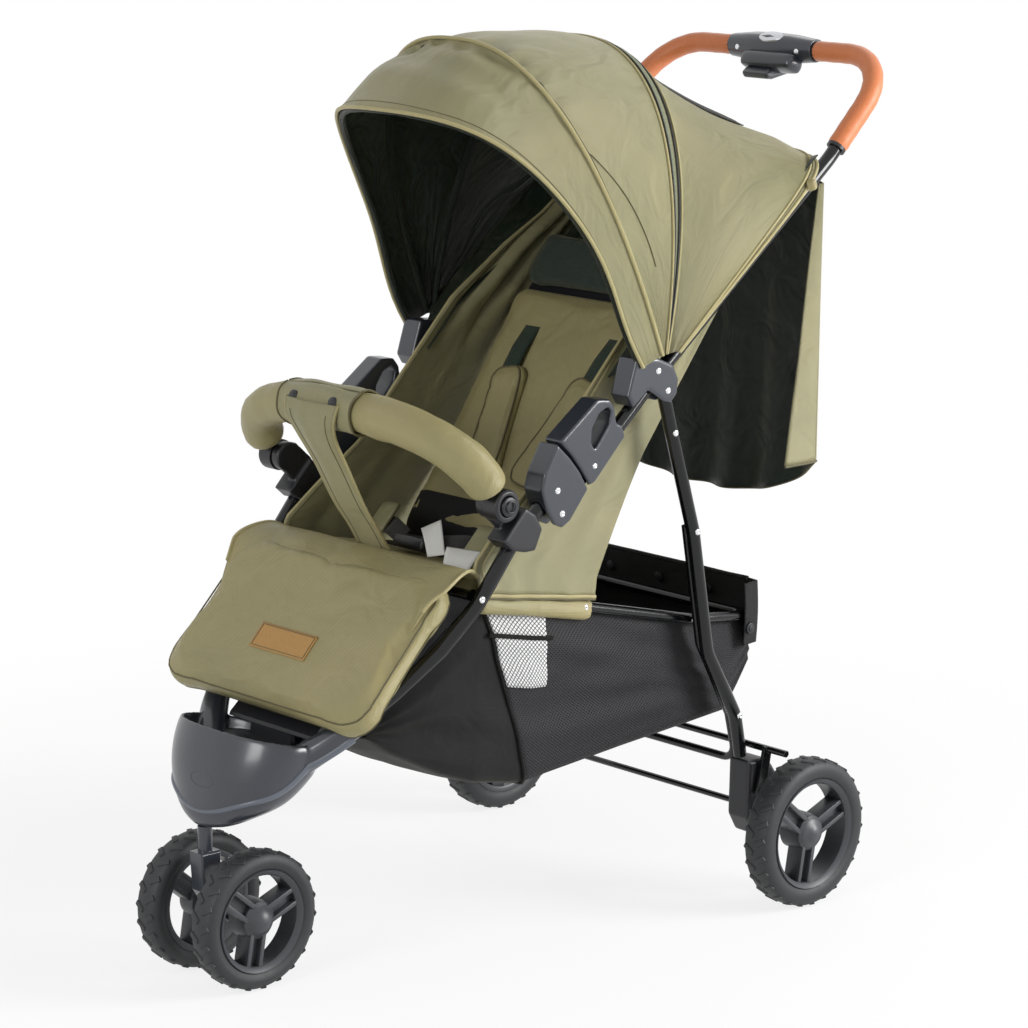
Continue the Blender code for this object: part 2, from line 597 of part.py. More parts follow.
def latch_sleeves():
    """Sliding release on each handle tube, with a finger loop above the tube."""
    outline = [(-0.0890, 0.6127), (-0.0294, 0.6552), (-0.0095, 0.6533), (-0.0010, 0.6425),
               (0.0020, 0.6243), (0.0110, 0.6203), (0.0170, 0.6063), (-0.0320, 0.5583),
               (-0.0405, 0.5563), (-0.0560, 0.5773), (-0.0695, 0.5936)]
    loop = [(-0.0130, 0.6444), (-0.0073, 0.6386), (-0.0103, 0.6246), (-0.0328, 0.5976),
            (-0.0388, 0.6046), (-0.0383, 0.6216), (-0.0268, 0.6386)]
    for name, side in SIDES:
        body(f"latch_sleeve_{name}", side_point((-0.032, 0.587), side * TUBE_X), "upper_frame")
        shape = prism(outline, TUBE_X - 0.0145, TUBE_X + 0.0145, 0.0015)
        hole = prism(loop, 0.17, 0.23)
        bore = channel(FOLD, HANDLE_BEND, TUBE_X, TUBE_R + 2 * GAP)
        place(f"latch_sleeve_{name}", cut(shape, hole, bore), SHELL_PLASTIC,
              f"latch_sleeve_{name}", side)


def handle_lever():
    body("handle_lever", side_point(LEVER), "upper_frame")
    outline = [(0.4960, 0.9985), (0.4930, 0.9900), (0.4560, 0.9830), (0.4460, 0.9840),
               (0.4420, 0.9910), (0.4500, 0.9970), (0.4700, 0.9985)]
    place("handle_lever", prism(outline, -0.0220, 0.0220, 0.0025), SHELL_PLASTIC, "handle_lever")


def arch(angle, crown, half, power, count=22, low=0.012, lift=0.0, ahead=0.0):
    """Points of one cloth line over the hood, from the left hinge over the top to the right."""
    first = math.asin(min(1.0, (low / crown) ** (power / 2)))
    out = []
    for i in range(count + 1):
        u = first + (math.pi - 2 * first) * i / count
        c, s = math.cos(u), math.sin(u)
        x = math.copysign(abs(c) ** (2 / power), c) * half
        r = crown * s ** (2 / power)
        a = math.radians(angle + lift * s ** 4)
        out.append(Vector((x, HOOD[0] + r * math.cos(a) - ahead * math.sin(a),
                           HOOD[1] + r * math.sin(a) + ahead * math.cos(a))))
    return out


def bow(angle, crown, end_x):
    """A wire bow just inside the cloth, with its ends stacked on the hood pivot."""
    half = HOOD_HALF - CLOTH - BOW_R - 0.0025
    top = arch(angle, crown - CLOTH - BOW_R - 0.0025, half, 2.5, 18, low=0.10)
    a = math.radians(angle)
    ends = [Vector((end_x, HOOD[0] + r * math.cos(a), HOOD[1] + r * math.sin(a)))
            for r in (0.0, 0.03)]
    far = [Vector((-p.x, p.y, p.z)) for p in ends]
    return rod(ends + top + far[::-1], BOW_R, 6)


def hood():
    """Wire bows and the cloth between them."""
    bows = [("front", VISOR_SIDE + 2, 0.372), ("mid", MID_ANGLE, MID_CROWN),
            ("rear", ZIP_ANGLE, ZIP_CROWN)]
    for number, (name, angle, crown) in enumerate(bows):
        end_x = TUBE_X - 0.0155 - BOW_R - GAP - number * (2 * BOW_R + GAP)
        body(f"canopy_{name}_bow", side_point(HOOD), "upper_frame")
        place(f"canopy_{name}_bow", bow(angle, crown, end_x), STEEL, f"canopy_{name}_bow")
    seam = 0.0010
    visor = [arch(VISOR_SIDE, VISOR_CROWN, HOOD_HALF, 2.5, lift=VISOR_FRONT - VISOR_SIDE),
             arch(120.5, 0.403, HOOD_HALF, 2.5, lift=3.5), arch(116.0, 0.399, HOOD_HALF, 2.5, lift=1.2),
             arch(MID_ANGLE, MID_CROWN, HOOD_HALF, 2.5, ahead=seam)]
    place("canopy_visor", sheet(visor, CLOTH), OLIVE_CLOTH, "canopy_front_bow")
    middle = [arch(MID_ANGLE, MID_CROWN, HOOD_HALF, 2.5, ahead=-seam), arch(104, 0.386, HOOD_HALF, 2.5),
              arch(96, 0.377, HOOD_HALF, 2.5), arch(88, 0.371, HOOD_HALF, 2.5),
              arch(ZIP_ANGLE, ZIP_CROWN, HOOD_HALF, 2.5, ahead=seam)]
    place("canopy_mid_panel", sheet(middle, CLOTH), OLIVE_CLOTH, "canopy_mid_bow")
    rear = []
    for t in (0.0, 0.2, 0.4, 0.6, 0.8, 1.0):
        angle = ZIP_ANGLE + (REAR_ANGLE - ZIP_ANGLE) * t
        crown = ZIP_CROWN + (REAR_CROWN - ZIP_CROWN) * t - 0.120 * t * (1 - t)
        half = min(HOOD_HALF + 0.020 * t, HOOD_REAR_HALF)
        rear.append(arch(angle, crown, half, 2.5 + 9 * t ** 2, low=0.022, ahead=-seam))
    place("canopy_rear_panel", sheet(rear, CLOTH), OLIVE_CLOTH, "upper_frame")
    rows = []
    for i in range(7):
        t = i / 6
        row = []
        for j in range(13):
            x = (j / 6 - 1) * -0.190
            hem = 0.560 - 0.060 * (1 - (x / 0.190) ** 4)
            top = 0.902 - 0.028 * max(0.0, abs(x) / 0.190 - 0.6) / 0.4
            z = top + (hem - top) * t
            fold = 0.006 * t * math.cos(5 * math.pi * x / 0.190)
            belly = 0.018 * math.sin(math.pi * t) * (1 - (x / 0.190) ** 2)
            row.append(Vector((x, 0.3655 + fold + belly + 0.004 * t, z)))
        rows.append(row)
    place("canopy_drape", sheet(rows, CLOTH), OLIVE_CLOTH, "upper_frame")


def rear_legs():
    body("rear_legs", side_point(LEG_TOP), "upper_frame")
    bracket_low, bracket_high = 0.1770, 0.2130
    for name, side in SIDES:
        path = fillet([side_point(p, LEG_X) for p in LEG_LINE], 0.06, 2)
        place(f"rear_leg_{name}", rod(path, LEG_R), STEEL, "rear_legs", side)
        outline = [(0.2320, 0.1745), (0.2610, 0.1745), (0.2730, 0.1650), (0.2860, 0.1470),
                   (0.2960, 0.1170), (0.2960, 0.0830), (0.2860, 0.0720), (0.2660, 0.0700),
                   (0.2440, 0.0800), (0.2310, 0.1020)]
        frame = prism(outline, bracket_low, bracket_high, 0.003)
        inner = REAR_X - REAR_WIDTH / 2
        boss = rod([(0.207, *REAR_AXLE), (inner - 0.0005, *REAR_AXLE)], 0.0135, 16)
        hole = rod([(0.195, *REAR_AXLE), (0.260, *REAR_AXLE)], AXLE_R + GAP, 12)
        place(f"wheel_bracket_{name}", cut(union(frame, boss), hole), BLACK_PLASTIC,
              "rear_legs", side)
        end = REAR_X + REAR_WIDTH / 2 - 0.0085
        place(f"rear_axle_{name}", rod([(0.1954, *REAR_AXLE), (end, *REAR_AXLE)], AXLE_R, 12),
              STEEL, "rear_legs", side)
        body(f"rear_wheel_{name}", (side * REAR_X, *REAR_AXLE), "rear_legs")
        wheel("rear", (name, side), REAR_X, REAR_AXLE, REAR_R, REAR_WIDTH, REAR_BEAD, 0.002, 28)
    side_run = [(0.1483, 0.4775), (0.1765, 0.3275), (0.2319, 0.2290), (0.2480, 0.1665)]
    left = [(BRACE_X, y, z) for y, z in side_run]
    whole = left + [(-x, y, z) for x, y, z in left[::-1]]
    place("rear_brace", rod(fillet(whole, 0.022, 3), BRACE_R, 8), STEEL, "rear_legs")
    inside = bracket_low - GAP
    place("rear_cross_rod", rod([(-inside, 0.2440, 0.1150), (inside, 0.2440, 0.1150)], ROD_R, 10),
          STEEL, "rear_legs")


def brake():
    """Foot brake: one bar behind both wheels, on an arm beside each bracket."""
    body("brake_bar", side_point(BRAKE), "rear_legs")
    y, z = 0.2585, 0.1870
    bar = rod([(-0.249, y, z), (0.249, y, z)], 0.0045, 10)
    arms = []
    for side in (1, -1):
        plate = prism([(0.2390, 0.1330), (0.2550, 0.1330), (0.2650, 0.1870), (0.2520, 0.1915)],
                      0.2145, 0.2195)
        if side < 0:
            bmesh.ops.scale(plate, vec=(-1, 1, 1), verts=plate.verts)
            bmesh.ops.reverse_faces(plate, faces=plate.faces)
        arms.append(plate)
    place("brake_bar", union(bar, *arms), STEEL, "brake_bar")


def seat_unit():
    """Rail that ties the front tubes to the rear legs, with the seat and the basket on it."""
    body("seat_rail", side_point(RAIL_FRONT), "front_frame")
    rear_y, rear_z = 0.2760, 0.3440
    first = (RAIL_FRONT[0] + 0.0135, RAIL_FRONT[1] - 0.0033)
    run = [first, (-0.0150, 0.4020), RAIL_REAR, (rear_y, rear_z)]
    left = [(RAIL_X, y, z) for y, z in run]
    whole = left + [(-x, y, z) for x, y, z in left[::-1]]
    place("seat_rail", rod(fillet(whole, 0.020, 3), RAIL_R, 10), STEEL, "seat_rail")
    along = (side_point(SEAT_BACK) - side_point(SEAT_FRONT))
    centre = (side_point(SEAT_BACK) + side_point(SEAT_FRONT)) / 2
    board = cushion(centre, along, (1, 0, 0), along.length / 2 - 0.006, SEAT_HALF - 0.004,
                    [(-0.003, 0), (0.003, 0)], 10, 20)
    place("seat_board", board, BLACK_PLASTIC, "seat_rail")
    place("seat_cover", seat_cover(), OLIVE_CLOTH, "seat_rail")
    place("basket", basket(), BLACK_CLOTH, "seat_rail")
    buckle = block((-0.026, -0.1420, 0.4600), (0.026, -0.1080, 0.4740), 0.003)
    bmesh.ops.rotate(buckle, verts=buckle.verts, cent=(0, -0.125, 0.467),
                     matrix=Matrix.Rotation(math.radians(-12), 3, "X"))
    place("buckle", buckle, BLACK_PLASTIC, "seat_rail")


def seat_cover():
    """Seat pad with a cloth wall up to each handle tube."""
    lift = 0.0036
    base = [(SEAT_FRONT[0] - 0.004, SEAT_FRONT[1] + lift + 0.001), (SEAT_BACK[0], SEAT_BACK[1] + lift),
            (SEAT_BACK[0] + 0.002, SEAT_BACK[1] + 0.016),
            (SEAT_FRONT[0], SEAT_FRONT[1] + 0.018)]
    pad = prism(base, -SEAT_HALF, SEAT_HALF)
    side_outline = [(-0.1820, 0.4430), (SEAT_BACK[0], SEAT_BACK[1] + lift), (0.0000, 0.4130),
                    (0.0060, 0.4350), (0.0980, 0.5740), (0.2360, 0.7750), (0.2080, 0.7900),
                    (0.0900, 0.7300), (0.0204, 0.6746), (-0.0157, 0.6363), (-0.0402, 0.6100),
                    (-0.0774, 0.5655), (-0.1255, 0.5309), (-0.1589, 0.5046), (-0.1900, 0.4780)]
    walls = [prism(side_outline, SEAT_HALF - 0.003, SEAT_HALF),
             prism(side_outline, -SEAT_HALF, 0.003 - SEAT_HALF)]
    return union(pad, *walls)


def basket():
    """Shopping basket hung in the rail: cloth floor and walls, open at the top."""
    stations = [(-0.3080, 0.112, 0.2860, 0.2980), (-0.2700, 0.126, 0.2600, 0.3320),
                (-0.2100, 0.142, 0.2290, 0.3860), (-0.1700, 0.150, 0.2130, 0.4020),
                (-0.0950, BASKET_HALF, 0.1990, 0.3900), (0.0700, BASKET_HALF, 0.2120, 0.3590),
                (0.2460, BASKET_HALF, 0.2240, 0.3480), (0.2640, BASKET_HALF, 0.2560, 0.3340),
                (0.2840, 0.152, 0.2860, 0.3340), (0.2844, 0.152, 0.2864, 0.3860),
                (0.2900, 0.152, 0.2900, 0.3880)]

    def ring(y, half, low, high):
        r = min(0.012, (high - low) / 3)
        return [(half, y, high), (-half, y, high), (-half, y, low + r), (-half + r, y, low),
                (half - r, y, low), (half, y, low + r)]

    outer = loft([ring(*s) for s in stations])
    wall = 0.0030
    inner = []
    for i, (y, half, low, high) in enumerate(stations):
        shift = {0: wall * 2, len(stations) - 1: -wall * 1.1}.get(i, 0)
        inner.append(ring(y + shift, half - wall, low + wall * 1.3, high + 0.05))
    return cut(outer, loft(inner))


def backrest():
    """Reclining back: a board hinged behind the seat, its pad and the shoulder pads."""
    body("backrest", side_point(RECLINE), "seat_rail")
    a = math.radians(BACK_ANGLE)
    up, out = Vector((0, math.cos(a), math.sin(a))), Vector((0, -math.sin(a), math.cos(a)))
    base = side_point(RECLINE)
    middle = base + up * (0.008 + BACK_LENGTH / 2)
    board = cushion(middle, up, (-1, 0, 0), BACK_LENGTH / 2, BACK_HALF - 0.006, [(-0.003, 0), (0.003, 0)],
                    7, 24)
    place("backrest_board", board, BLACK_PLASTIC, "backrest")
    pad = cushion(middle + out * 0.0135, up, (-1, 0, 0), BACK_LENGTH / 2, BACK_HALF,
                  [(-0.010, 0.006), (-0.005, 0.0), (0.003, 0.002), (0.008, 0.010),
                   (0.0105, 0.030)], 6, 32)
    place("backrest_pad", pad, OLIVE_CLOTH, "backrest")
    for name, side in SIDES:
        centre = base + up * 0.185 + out * 0.0310 + Vector((0.040 * side, 0, 0))
        strip = cushion(centre, up, (-1, 0, 0), 0.072, 0.021,
                        [(-0.006, 0.002), (0.0, 0.0), (0.006, 0.004)], 4, 20)
        place(f"shoulder_pad_{name}", strip, OLIVE_CLOTH, "backrest")


SIDES = (("left", 1), ("right", -1))

clear_scene()
STEEL = material("black_steel", "17181A", 0.25, 0.3)
SHELL_PLASTIC = material("charcoal_plastic", "3A3C42", 0.42)
BLACK_PLASTIC = material("black_plastic", "1B1C1E", 0.45)
RIM_PLASTIC = material("rim_plastic", "3C3D40", 0.5)
TYRE = material("tyre_rubber", "2E2F31", 0.7)
OLIVE_CLOTH = material("olive_cloth", "9A9168", 0.6)
BLACK_CLOTH = material("black_cloth", "1A1A1D", 0.8)
GRIP = material("tan_grip", "D9824F", 0.55)

front_frame()
leg_rest()
bumper()
front_wheels()
upper_frame()
latch_sleeves()
handle_lever()
hood()
rear_legs()
brake()
seat_unit()
backrest()
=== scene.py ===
"""A pushchair with a hooded seat, dressed piece by piece in the order in which it is built."""
import json
import math

import bmesh
import bpy
from mathutils import Matrix, Vector, noise

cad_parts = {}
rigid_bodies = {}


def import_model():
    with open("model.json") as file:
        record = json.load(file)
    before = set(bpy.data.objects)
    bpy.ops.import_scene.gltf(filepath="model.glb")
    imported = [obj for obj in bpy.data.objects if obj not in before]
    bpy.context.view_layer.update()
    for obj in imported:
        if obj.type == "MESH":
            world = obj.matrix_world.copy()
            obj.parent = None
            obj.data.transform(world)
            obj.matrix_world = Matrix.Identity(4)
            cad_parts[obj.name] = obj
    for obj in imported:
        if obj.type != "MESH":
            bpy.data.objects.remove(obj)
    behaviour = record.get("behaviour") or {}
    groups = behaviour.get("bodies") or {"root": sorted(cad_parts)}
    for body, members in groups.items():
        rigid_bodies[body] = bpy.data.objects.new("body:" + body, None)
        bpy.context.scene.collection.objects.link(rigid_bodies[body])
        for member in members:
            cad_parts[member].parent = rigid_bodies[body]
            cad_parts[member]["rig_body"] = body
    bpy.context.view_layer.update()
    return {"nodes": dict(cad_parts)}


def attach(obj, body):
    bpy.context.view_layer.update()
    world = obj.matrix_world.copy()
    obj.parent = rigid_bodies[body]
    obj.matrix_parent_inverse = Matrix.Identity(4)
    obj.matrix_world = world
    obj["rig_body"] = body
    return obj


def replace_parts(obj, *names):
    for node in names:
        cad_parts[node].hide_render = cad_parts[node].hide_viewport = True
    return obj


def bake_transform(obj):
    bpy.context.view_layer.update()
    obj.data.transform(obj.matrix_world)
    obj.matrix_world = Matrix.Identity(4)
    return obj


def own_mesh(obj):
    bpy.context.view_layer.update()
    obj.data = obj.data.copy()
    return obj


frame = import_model()


# Camera: a long lens in front of the child's left, a little above the hood
# The photograph is square, so the lens's frame is taken on its width.
photo_width, focal_pixels, sensor_width = 1028, 3350.3, 36.0
ahead = Vector((-0.70636, 0.67547, -0.21166)).normalized()
level = ahead.cross(Vector((0, 0, 1))).normalized()
rise = level.cross(ahead)
tilt = math.radians(0.529)
across_view = level * math.cos(tilt) + rise * math.sin(tilt)
up_view = rise * math.cos(tilt) - level * math.sin(tilt)
camera_data = bpy.data.cameras.new("photo_camera")
camera_data.sensor_width = sensor_width
camera_data.lens = focal_pixels / photo_width * sensor_width
camera_data.clip_end = 100
camera = bpy.data.objects.new("photo_camera", camera_data)
camera.matrix_world = (Matrix.Translation((2.8672, -2.7105, 1.3388))
                       @ Matrix((across_view, up_view, -ahead)).transposed().to_4x4())
bpy.context.scene.collection.objects.link(camera)
bpy.context.scene.camera = camera
bpy.context.scene.view_settings.view_transform = "Standard"


# Studio: three soft boxes, a pale floor and a white surround
# The floor keeps the pushchair's shadow and fades to plain white with distance.
def srgb(code):
    """Linear colour of an sRGB hex value."""
    parts = [int(code[i:i + 2], 16) / 255 for i in (0, 2, 4)]
    return (*[c / 12.92 if c <= 0.04045 else ((c + 0.055) / 1.055) ** 2.4 for c in parts], 1.0)


def add_node(tree, kind, inputs=None, **settings):
    """Adds one node. inputs maps a socket's name or number to its value or to the socket it reads."""
    made = tree.nodes.new(kind)
    for key, value in settings.items():
        setattr(made, key, value)
    for key, value in (inputs or {}).items():
        if isinstance(value, bpy.types.NodeSocket):
            tree.links.new(value, made.inputs[key])
        else:
            made.inputs[key].default_value = value
    return made


def soft_box(name, spot, aim, size, watts):
    light = bpy.data.lights.new(name, "AREA")
    light.shape, light.size, light.size_y, light.energy = "RECTANGLE", *size, watts
    lamp = bpy.data.objects.new(name, light)
    lamp.location = spot
    lamp.rotation_euler = (Vector(aim) - Vector(spot)).to_track_quat("-Z", "Y").to_euler()
    bpy.context.scene.collection.objects.link(lamp)


middle = (0, 0, 0.55)
soft_box("key_box", (2.8, 2.2, 1.6), middle, (1.6, 1.6), 150)
soft_box("front_box", (0.5, -3.6, 1.8), middle, (1.4, 1.4), 50)
soft_box("back_box", (-2.0, 2.6, 3.0), middle, (1.4, 1.4), 8)


def looking(tree):
    """1 for rays from the camera, off gloss and through glass; 0 for those that light things."""
    rays = add_node(tree, "ShaderNodeLightPath")
    seen = rays.outputs["Is Camera Ray"]
    for kind in ("Is Glossy Ray", "Is Transmission Ray"):
        seen = add_node(tree, "ShaderNodeMath", {0: seen, 1: rays.outputs[kind]},
                        operation="MAXIMUM").outputs[0]
    return seen


world = bpy.data.worlds.new("white_studio")
world.use_nodes = True
bpy.context.scene.world = world
sky = world.node_tree
sky.nodes.clear()
dim = add_node(sky, "ShaderNodeBackground", {"Color": (1, 1, 1, 1), "Strength": 0.40})
white = add_node(sky, "ShaderNodeBackground", {"Color": (1, 1, 1, 1), "Strength": 1.0})
chosen = add_node(sky, "ShaderNodeMixShader", {0: looking(sky), 1: dim.outputs[0],
                                               2: white.outputs[0]})
add_node(sky, "ShaderNodeOutputWorld", {"Surface": chosen.outputs[0]})

bm = bmesh.new()
bmesh.ops.create_circle(bm, cap_ends=True, radius=30, segments=64)
floor_mesh = bpy.data.meshes.new("studio_floor")
bm.to_mesh(floor_mesh)
bm.free()
studio_floor = bpy.data.objects.new("studio_floor", floor_mesh)
bpy.context.scene.collection.objects.link(studio_floor)
# Painted board: matt white that lets a fifth of the shadow show, and the surround's own white
# from 1.5 m out
painted = bpy.data.materials.new("matt_white_studio_board")
painted.use_nodes = True
board = painted.node_tree
board.nodes.clear()
place = add_node(board, "ShaderNodeTexCoord")
far = add_node(board, "ShaderNodeVectorMath", {0: place.outputs["Object"]}, operation="LENGTH")
fade = add_node(board, "ShaderNodeMapRange", {"Value": far.outputs["Value"], "From Min": 0.55,
                                              "From Max": 1.5}, interpolation_type="SMOOTHSTEP")
matt = add_node(board, "ShaderNodeBsdfDiffuse", {"Color": srgb("FAFAFA")})
plain = add_node(board, "ShaderNodeEmission", {"Color": (1, 1, 1, 1), "Strength": 1.0})
pale = add_node(board, "ShaderNodeMapRange", {"Value": fade.outputs["Result"], "To Min": 0.80})
share = add_node(board, "ShaderNodeMath", {0: pale.outputs["Result"], 1: looking(board)},
                 operation="MULTIPLY")
laid = add_node(board, "ShaderNodeMixShader", {0: share.outputs[0], 1: matt.outputs[0],
                                               2: plain.outputs[0]})
add_node(board, "ShaderNodeOutputMaterial", {"Surface": laid.outputs[0]})
floor_mesh.materials.append(painted)


# Steel tubes of the frame: handle, front tubes, rear legs, brace and seat rail
# Thin-walled round steel tube, bent cold and powder coated in gloss black.
def finish_of(name, colour, rough, metal=0.0, **sockets):
    """A Principled material; returns it with its tree and its shader."""
    made = bpy.data.materials.new(name)
    made.use_nodes = True
    tree = made.node_tree
    shader = tree.nodes["Principled BSDF"]
    shader.inputs["Base Color"].default_value = srgb(colour)
    shader.inputs["Roughness"].default_value = rough
    shader.inputs["Metallic"].default_value = metal
    for key, value in sockets.items():
        shader.inputs[key.replace("_", " ")].default_value = value
    return made, tree, shader


def grained(name, colour, rough, scale, tints, roughs, depth, metal=0.0, **sockets):
    """A hard finish: one noise, scale grains to the metre, moves its colour, gloss and height."""
    made, tree, shader = finish_of(name, colour, rough, metal, **sockets)
    spot = add_node(tree, "ShaderNodeTexCoord")
    grain = add_node(tree, "ShaderNodeTexNoise", {"Vector": spot.outputs["Object"],
                                                  "Scale": scale, "Detail": 3.0}).outputs["Fac"]
    tint = add_node(tree, "ShaderNodeMix", {"Factor": grain, 6: srgb(tints[0]),
                                            7: srgb(tints[1])}, data_type="RGBA")
    tree.links.new(tint.outputs[2], shader.inputs["Base Color"])
    gloss = add_node(tree, "ShaderNodeMapRange", {"Value": grain, "To Min": roughs[0],
                                                  "To Max": roughs[1]})
    tree.links.new(gloss.outputs["Result"], shader.inputs["Roughness"])
    bump = add_node(tree, "ShaderNodeBump", {"Height": grain, "Distance": depth, "Strength": 1.0})
    tree.links.new(bump.outputs["Normal"], shader.inputs["Normal"])
    return made


# Powder coat: deep black with sharp reflections and a faint orange peel of about 3 mm
black_coat = grained("powder_coated_steel_gloss_black", "08090A", 0.18, 330, ("060708", "0D0E10"),
                     (0.14, 0.24), 0.00004, IOR=1.38, Coat_Weight=0.2, Coat_Roughness=0.06)


def rounded(points, radius, steps=8):
    """A path whose inner corners are arcs."""
    pts = [Vector(p) for p in points]
    out = [pts[0]]
    for before, corner, after in zip(pts, pts[1:], pts[2:]):
        a, b = before - corner, after - corner
        turn = math.pi - a.angle(b)
        if turn < 0.03:
            out.append(corner)
            continue
        reach = min(radius * math.tan(turn / 2), 0.48 * a.length, 0.48 * b.length)
        start, end = corner + a.normalized() * reach, corner + b.normalized() * reach
        centre = corner + (a.normalized() + b.normalized()).normalized() * (
            reach / math.tan(turn / 2) / math.cos(turn / 2))
        axis = (start - centre).cross(end - centre).normalized()
        out += [centre + Matrix.Rotation(turn * i / steps, 3, axis) @ (start - centre)
                for i in range(steps + 1)]
    return out + [pts[-1]]


def shown(name, mesh, material, sharp=40):
    """Links a finished mesh as a piece, smooth but for its sharp edges."""
    piece = bpy.data.objects.new(name, mesh)
    bpy.context.scene.collection.objects.link(piece)
    for made in material if isinstance(material, (list, tuple)) else [material]:
        mesh.materials.append(made)
    mesh.shade_smooth()
    mesh.set_sharp_from_angle(angle=math.radians(sharp))
    return piece


def from_bmesh(name, bm, material, sharp=40, normals=True):
    if normals:
        bmesh.ops.recalc_face_normals(bm, faces=bm.faces)
    mesh = bpy.data.meshes.new(name)
    bm.to_mesh(mesh)
    bm.free()
    return shown(name, mesh, material, sharp)


def tube(name, path, radius, material, sides=20, closed=False):
    """A round bar or piping along a path; radius may be a list, one for each point."""
    curve = bpy.data.curves.new(name, "CURVE")
    curve.dimensions, curve.use_fill_caps = "3D", not closed
    curve.bevel_depth, curve.bevel_resolution = 1.0, max(1, sides // 4 - 1)
    spline = curve.splines.new("POLY")
    spline.points.add(len(path) - 1)
    radii = radius if isinstance(radius, (list, tuple)) else [radius] * len(path)
    for point, spot, size in zip(spline.points, path, radii):
        point.co, point.radius = (*spot, 1), size
    spline.use_cyclic_u = closed
    holder = bpy.data.objects.new(name + "_line", curve)
    mesh = bpy.data.meshes.new_from_object(holder)
    bpy.data.objects.remove(holder)
    bpy.data.curves.remove(curve)
    mesh.materials.clear()
    mesh.name = name
    return shown(name, mesh, material)


both_sides = (("left", 1), ("right", -1))


def on_side(points, side):
    """Points of the left side, or their mirror image where side is -1."""
    return [Vector((side * p[0], p[1], p[2])) for p in points]


tube_x, leg_x, rail_x, brace_x = 0.187, 0.190, 0.163, 0.175
fold = (-0.0853, 0.5255)
front_line = [(0.1190, -0.3293, 0.3040), (0.150, -0.293, 0.345), (0.172, -0.246, 0.389),
              (0.1855, -0.2039, 0.4366), (tube_x, -0.1898, 0.4544), (tube_x, -0.1540, 0.4978),
              (tube_x, -0.1059, 0.5383), (tube_x, -0.0658, 0.5719)]
leg_line = [(leg_x, *p) for p in ((0.0895, 0.6511), (0.1048, 0.6002), (0.1456, 0.4735),
                                  (0.1745, 0.3200), (0.2275, 0.2306), (0.2390, 0.1770))]
half_handle = [(tube_x, *fold), (tube_x, 0.0637, 0.6558), (tube_x, 0.3766, 0.9030),
               (0.198, 0.4826, 1.0205)]
handle_line = rounded(half_handle + on_side(half_handle, -1)[::-1], 0.085, 10)
rail_run = [(rail_x, -0.1889, 0.4439), (rail_x, -0.0150, 0.4020), (rail_x, 0.1732, 0.3560),
            (rail_x, 0.2760, 0.3440)]
brace_run = [(brace_x, 0.1483, 0.4775), (brace_x, 0.1765, 0.3275), (brace_x, 0.2319, 0.2290),
             (brace_x, 0.2480, 0.1665)]
tubes = [("handle_tube", handle_line, 0.009, "upper_frame"),
         ("seat_rail", rounded(rail_run + on_side(rail_run, -1)[::-1], 0.020), 0.0065, "seat_rail"),
         ("rear_brace", rounded(brace_run + on_side(brace_run, -1)[::-1], 0.022), 0.005, "rear_legs"),
         ("seat_front_bar", [(-0.175, -0.2024, 0.4472), (0.175, -0.2024, 0.4472)], 0.006,
          "front_frame")]
for name, side in both_sides:
    tubes += [(f"front_tube_{name}", rounded(on_side(front_line, side), 0.05, 5), 0.009,
               "front_frame"),
              (f"rear_leg_{name}", rounded(on_side(leg_line, side), 0.06, 6), 0.0085, "rear_legs")]
for node, path, radius, body in tubes:
    piece = tube(node + "_coated", path, radius, black_coat)
    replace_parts(piece, node)
    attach(piece, body)


# Rods, axles and brake bar: solid steel, cut to length and coated black
# They keep the model's own shape, and the brake bar's edges are eased.
def refined(node, material, ease=0.0007, suffix="moulded", smooth_voxel=None):
    """The node's own shape with its mesh merged, its edges eased and its faces smooth."""
    bm = bmesh.new()
    bm.from_mesh(frame["nodes"][node].data)
    bmesh.ops.remove_doubles(bm, verts=bm.verts, dist=0.00002)
    bmesh.ops.dissolve_limit(bm, angle_limit=math.radians(1.5), verts=bm.verts, edges=bm.edges)
    piece = from_bmesh(f"{node}_{suffix}", bm, material, sharp=38, normals=False)
    if smooth_voxel:
        melt = piece.modifiers.new("moulded_fillets", "REMESH")
        melt.mode, melt.voxel_size, melt.use_smooth_shade = "VOXEL", smooth_voxel, True
        soften = piece.modifiers.new("soften", "SMOOTH")
        soften.iterations = 14
    else:
        bevel = piece.modifiers.new("eased_edges", "BEVEL")
        bevel.width, bevel.segments, bevel.limit_method = ease, 2, "ANGLE"
        bevel.angle_limit, bevel.harden_normals = math.radians(30), True
    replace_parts(piece, node)
    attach(piece, frame["nodes"][node]["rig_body"])
    return piece


def recoated(node, material):
    """A node of the model that keeps its shape and takes a better material."""
    mesh = frame["nodes"][node].data
    mesh.materials.clear()
    mesh.materials.append(material)


refined("brake_bar", black_coat, 0.0008, "coated")
for node in ("rear_cross_rod", "front_axle", "rear_axle_left", "rear_axle_right"):
    recoated(node, black_coat)


# Moulded housings: latches, hood brackets, bumper knuckles, handle hub, wheel forks
# Injection-moulded nylon and ABS with a fine spark-eroded texture, charcoal or black.
# ABS: a bluish charcoal satin; the texture is about 1 mm, coarser than real so that it shows
charcoal = grained("abs_plastic_satin_charcoal", "2C3038", 0.30, 900, ("272B32", "32363E"),
                   (0.24, 0.36), 0.00005, IOR=1.52, Coat_Weight=0.35, Coat_Roughness=0.14)
# Glass-filled nylon: nearly black, duller
black_nylon = grained("nylon_plastic_black", "151619", 0.38, 900, ("121316", "1B1C20"),
                      (0.32, 0.46), 0.00006, IOR=1.5)

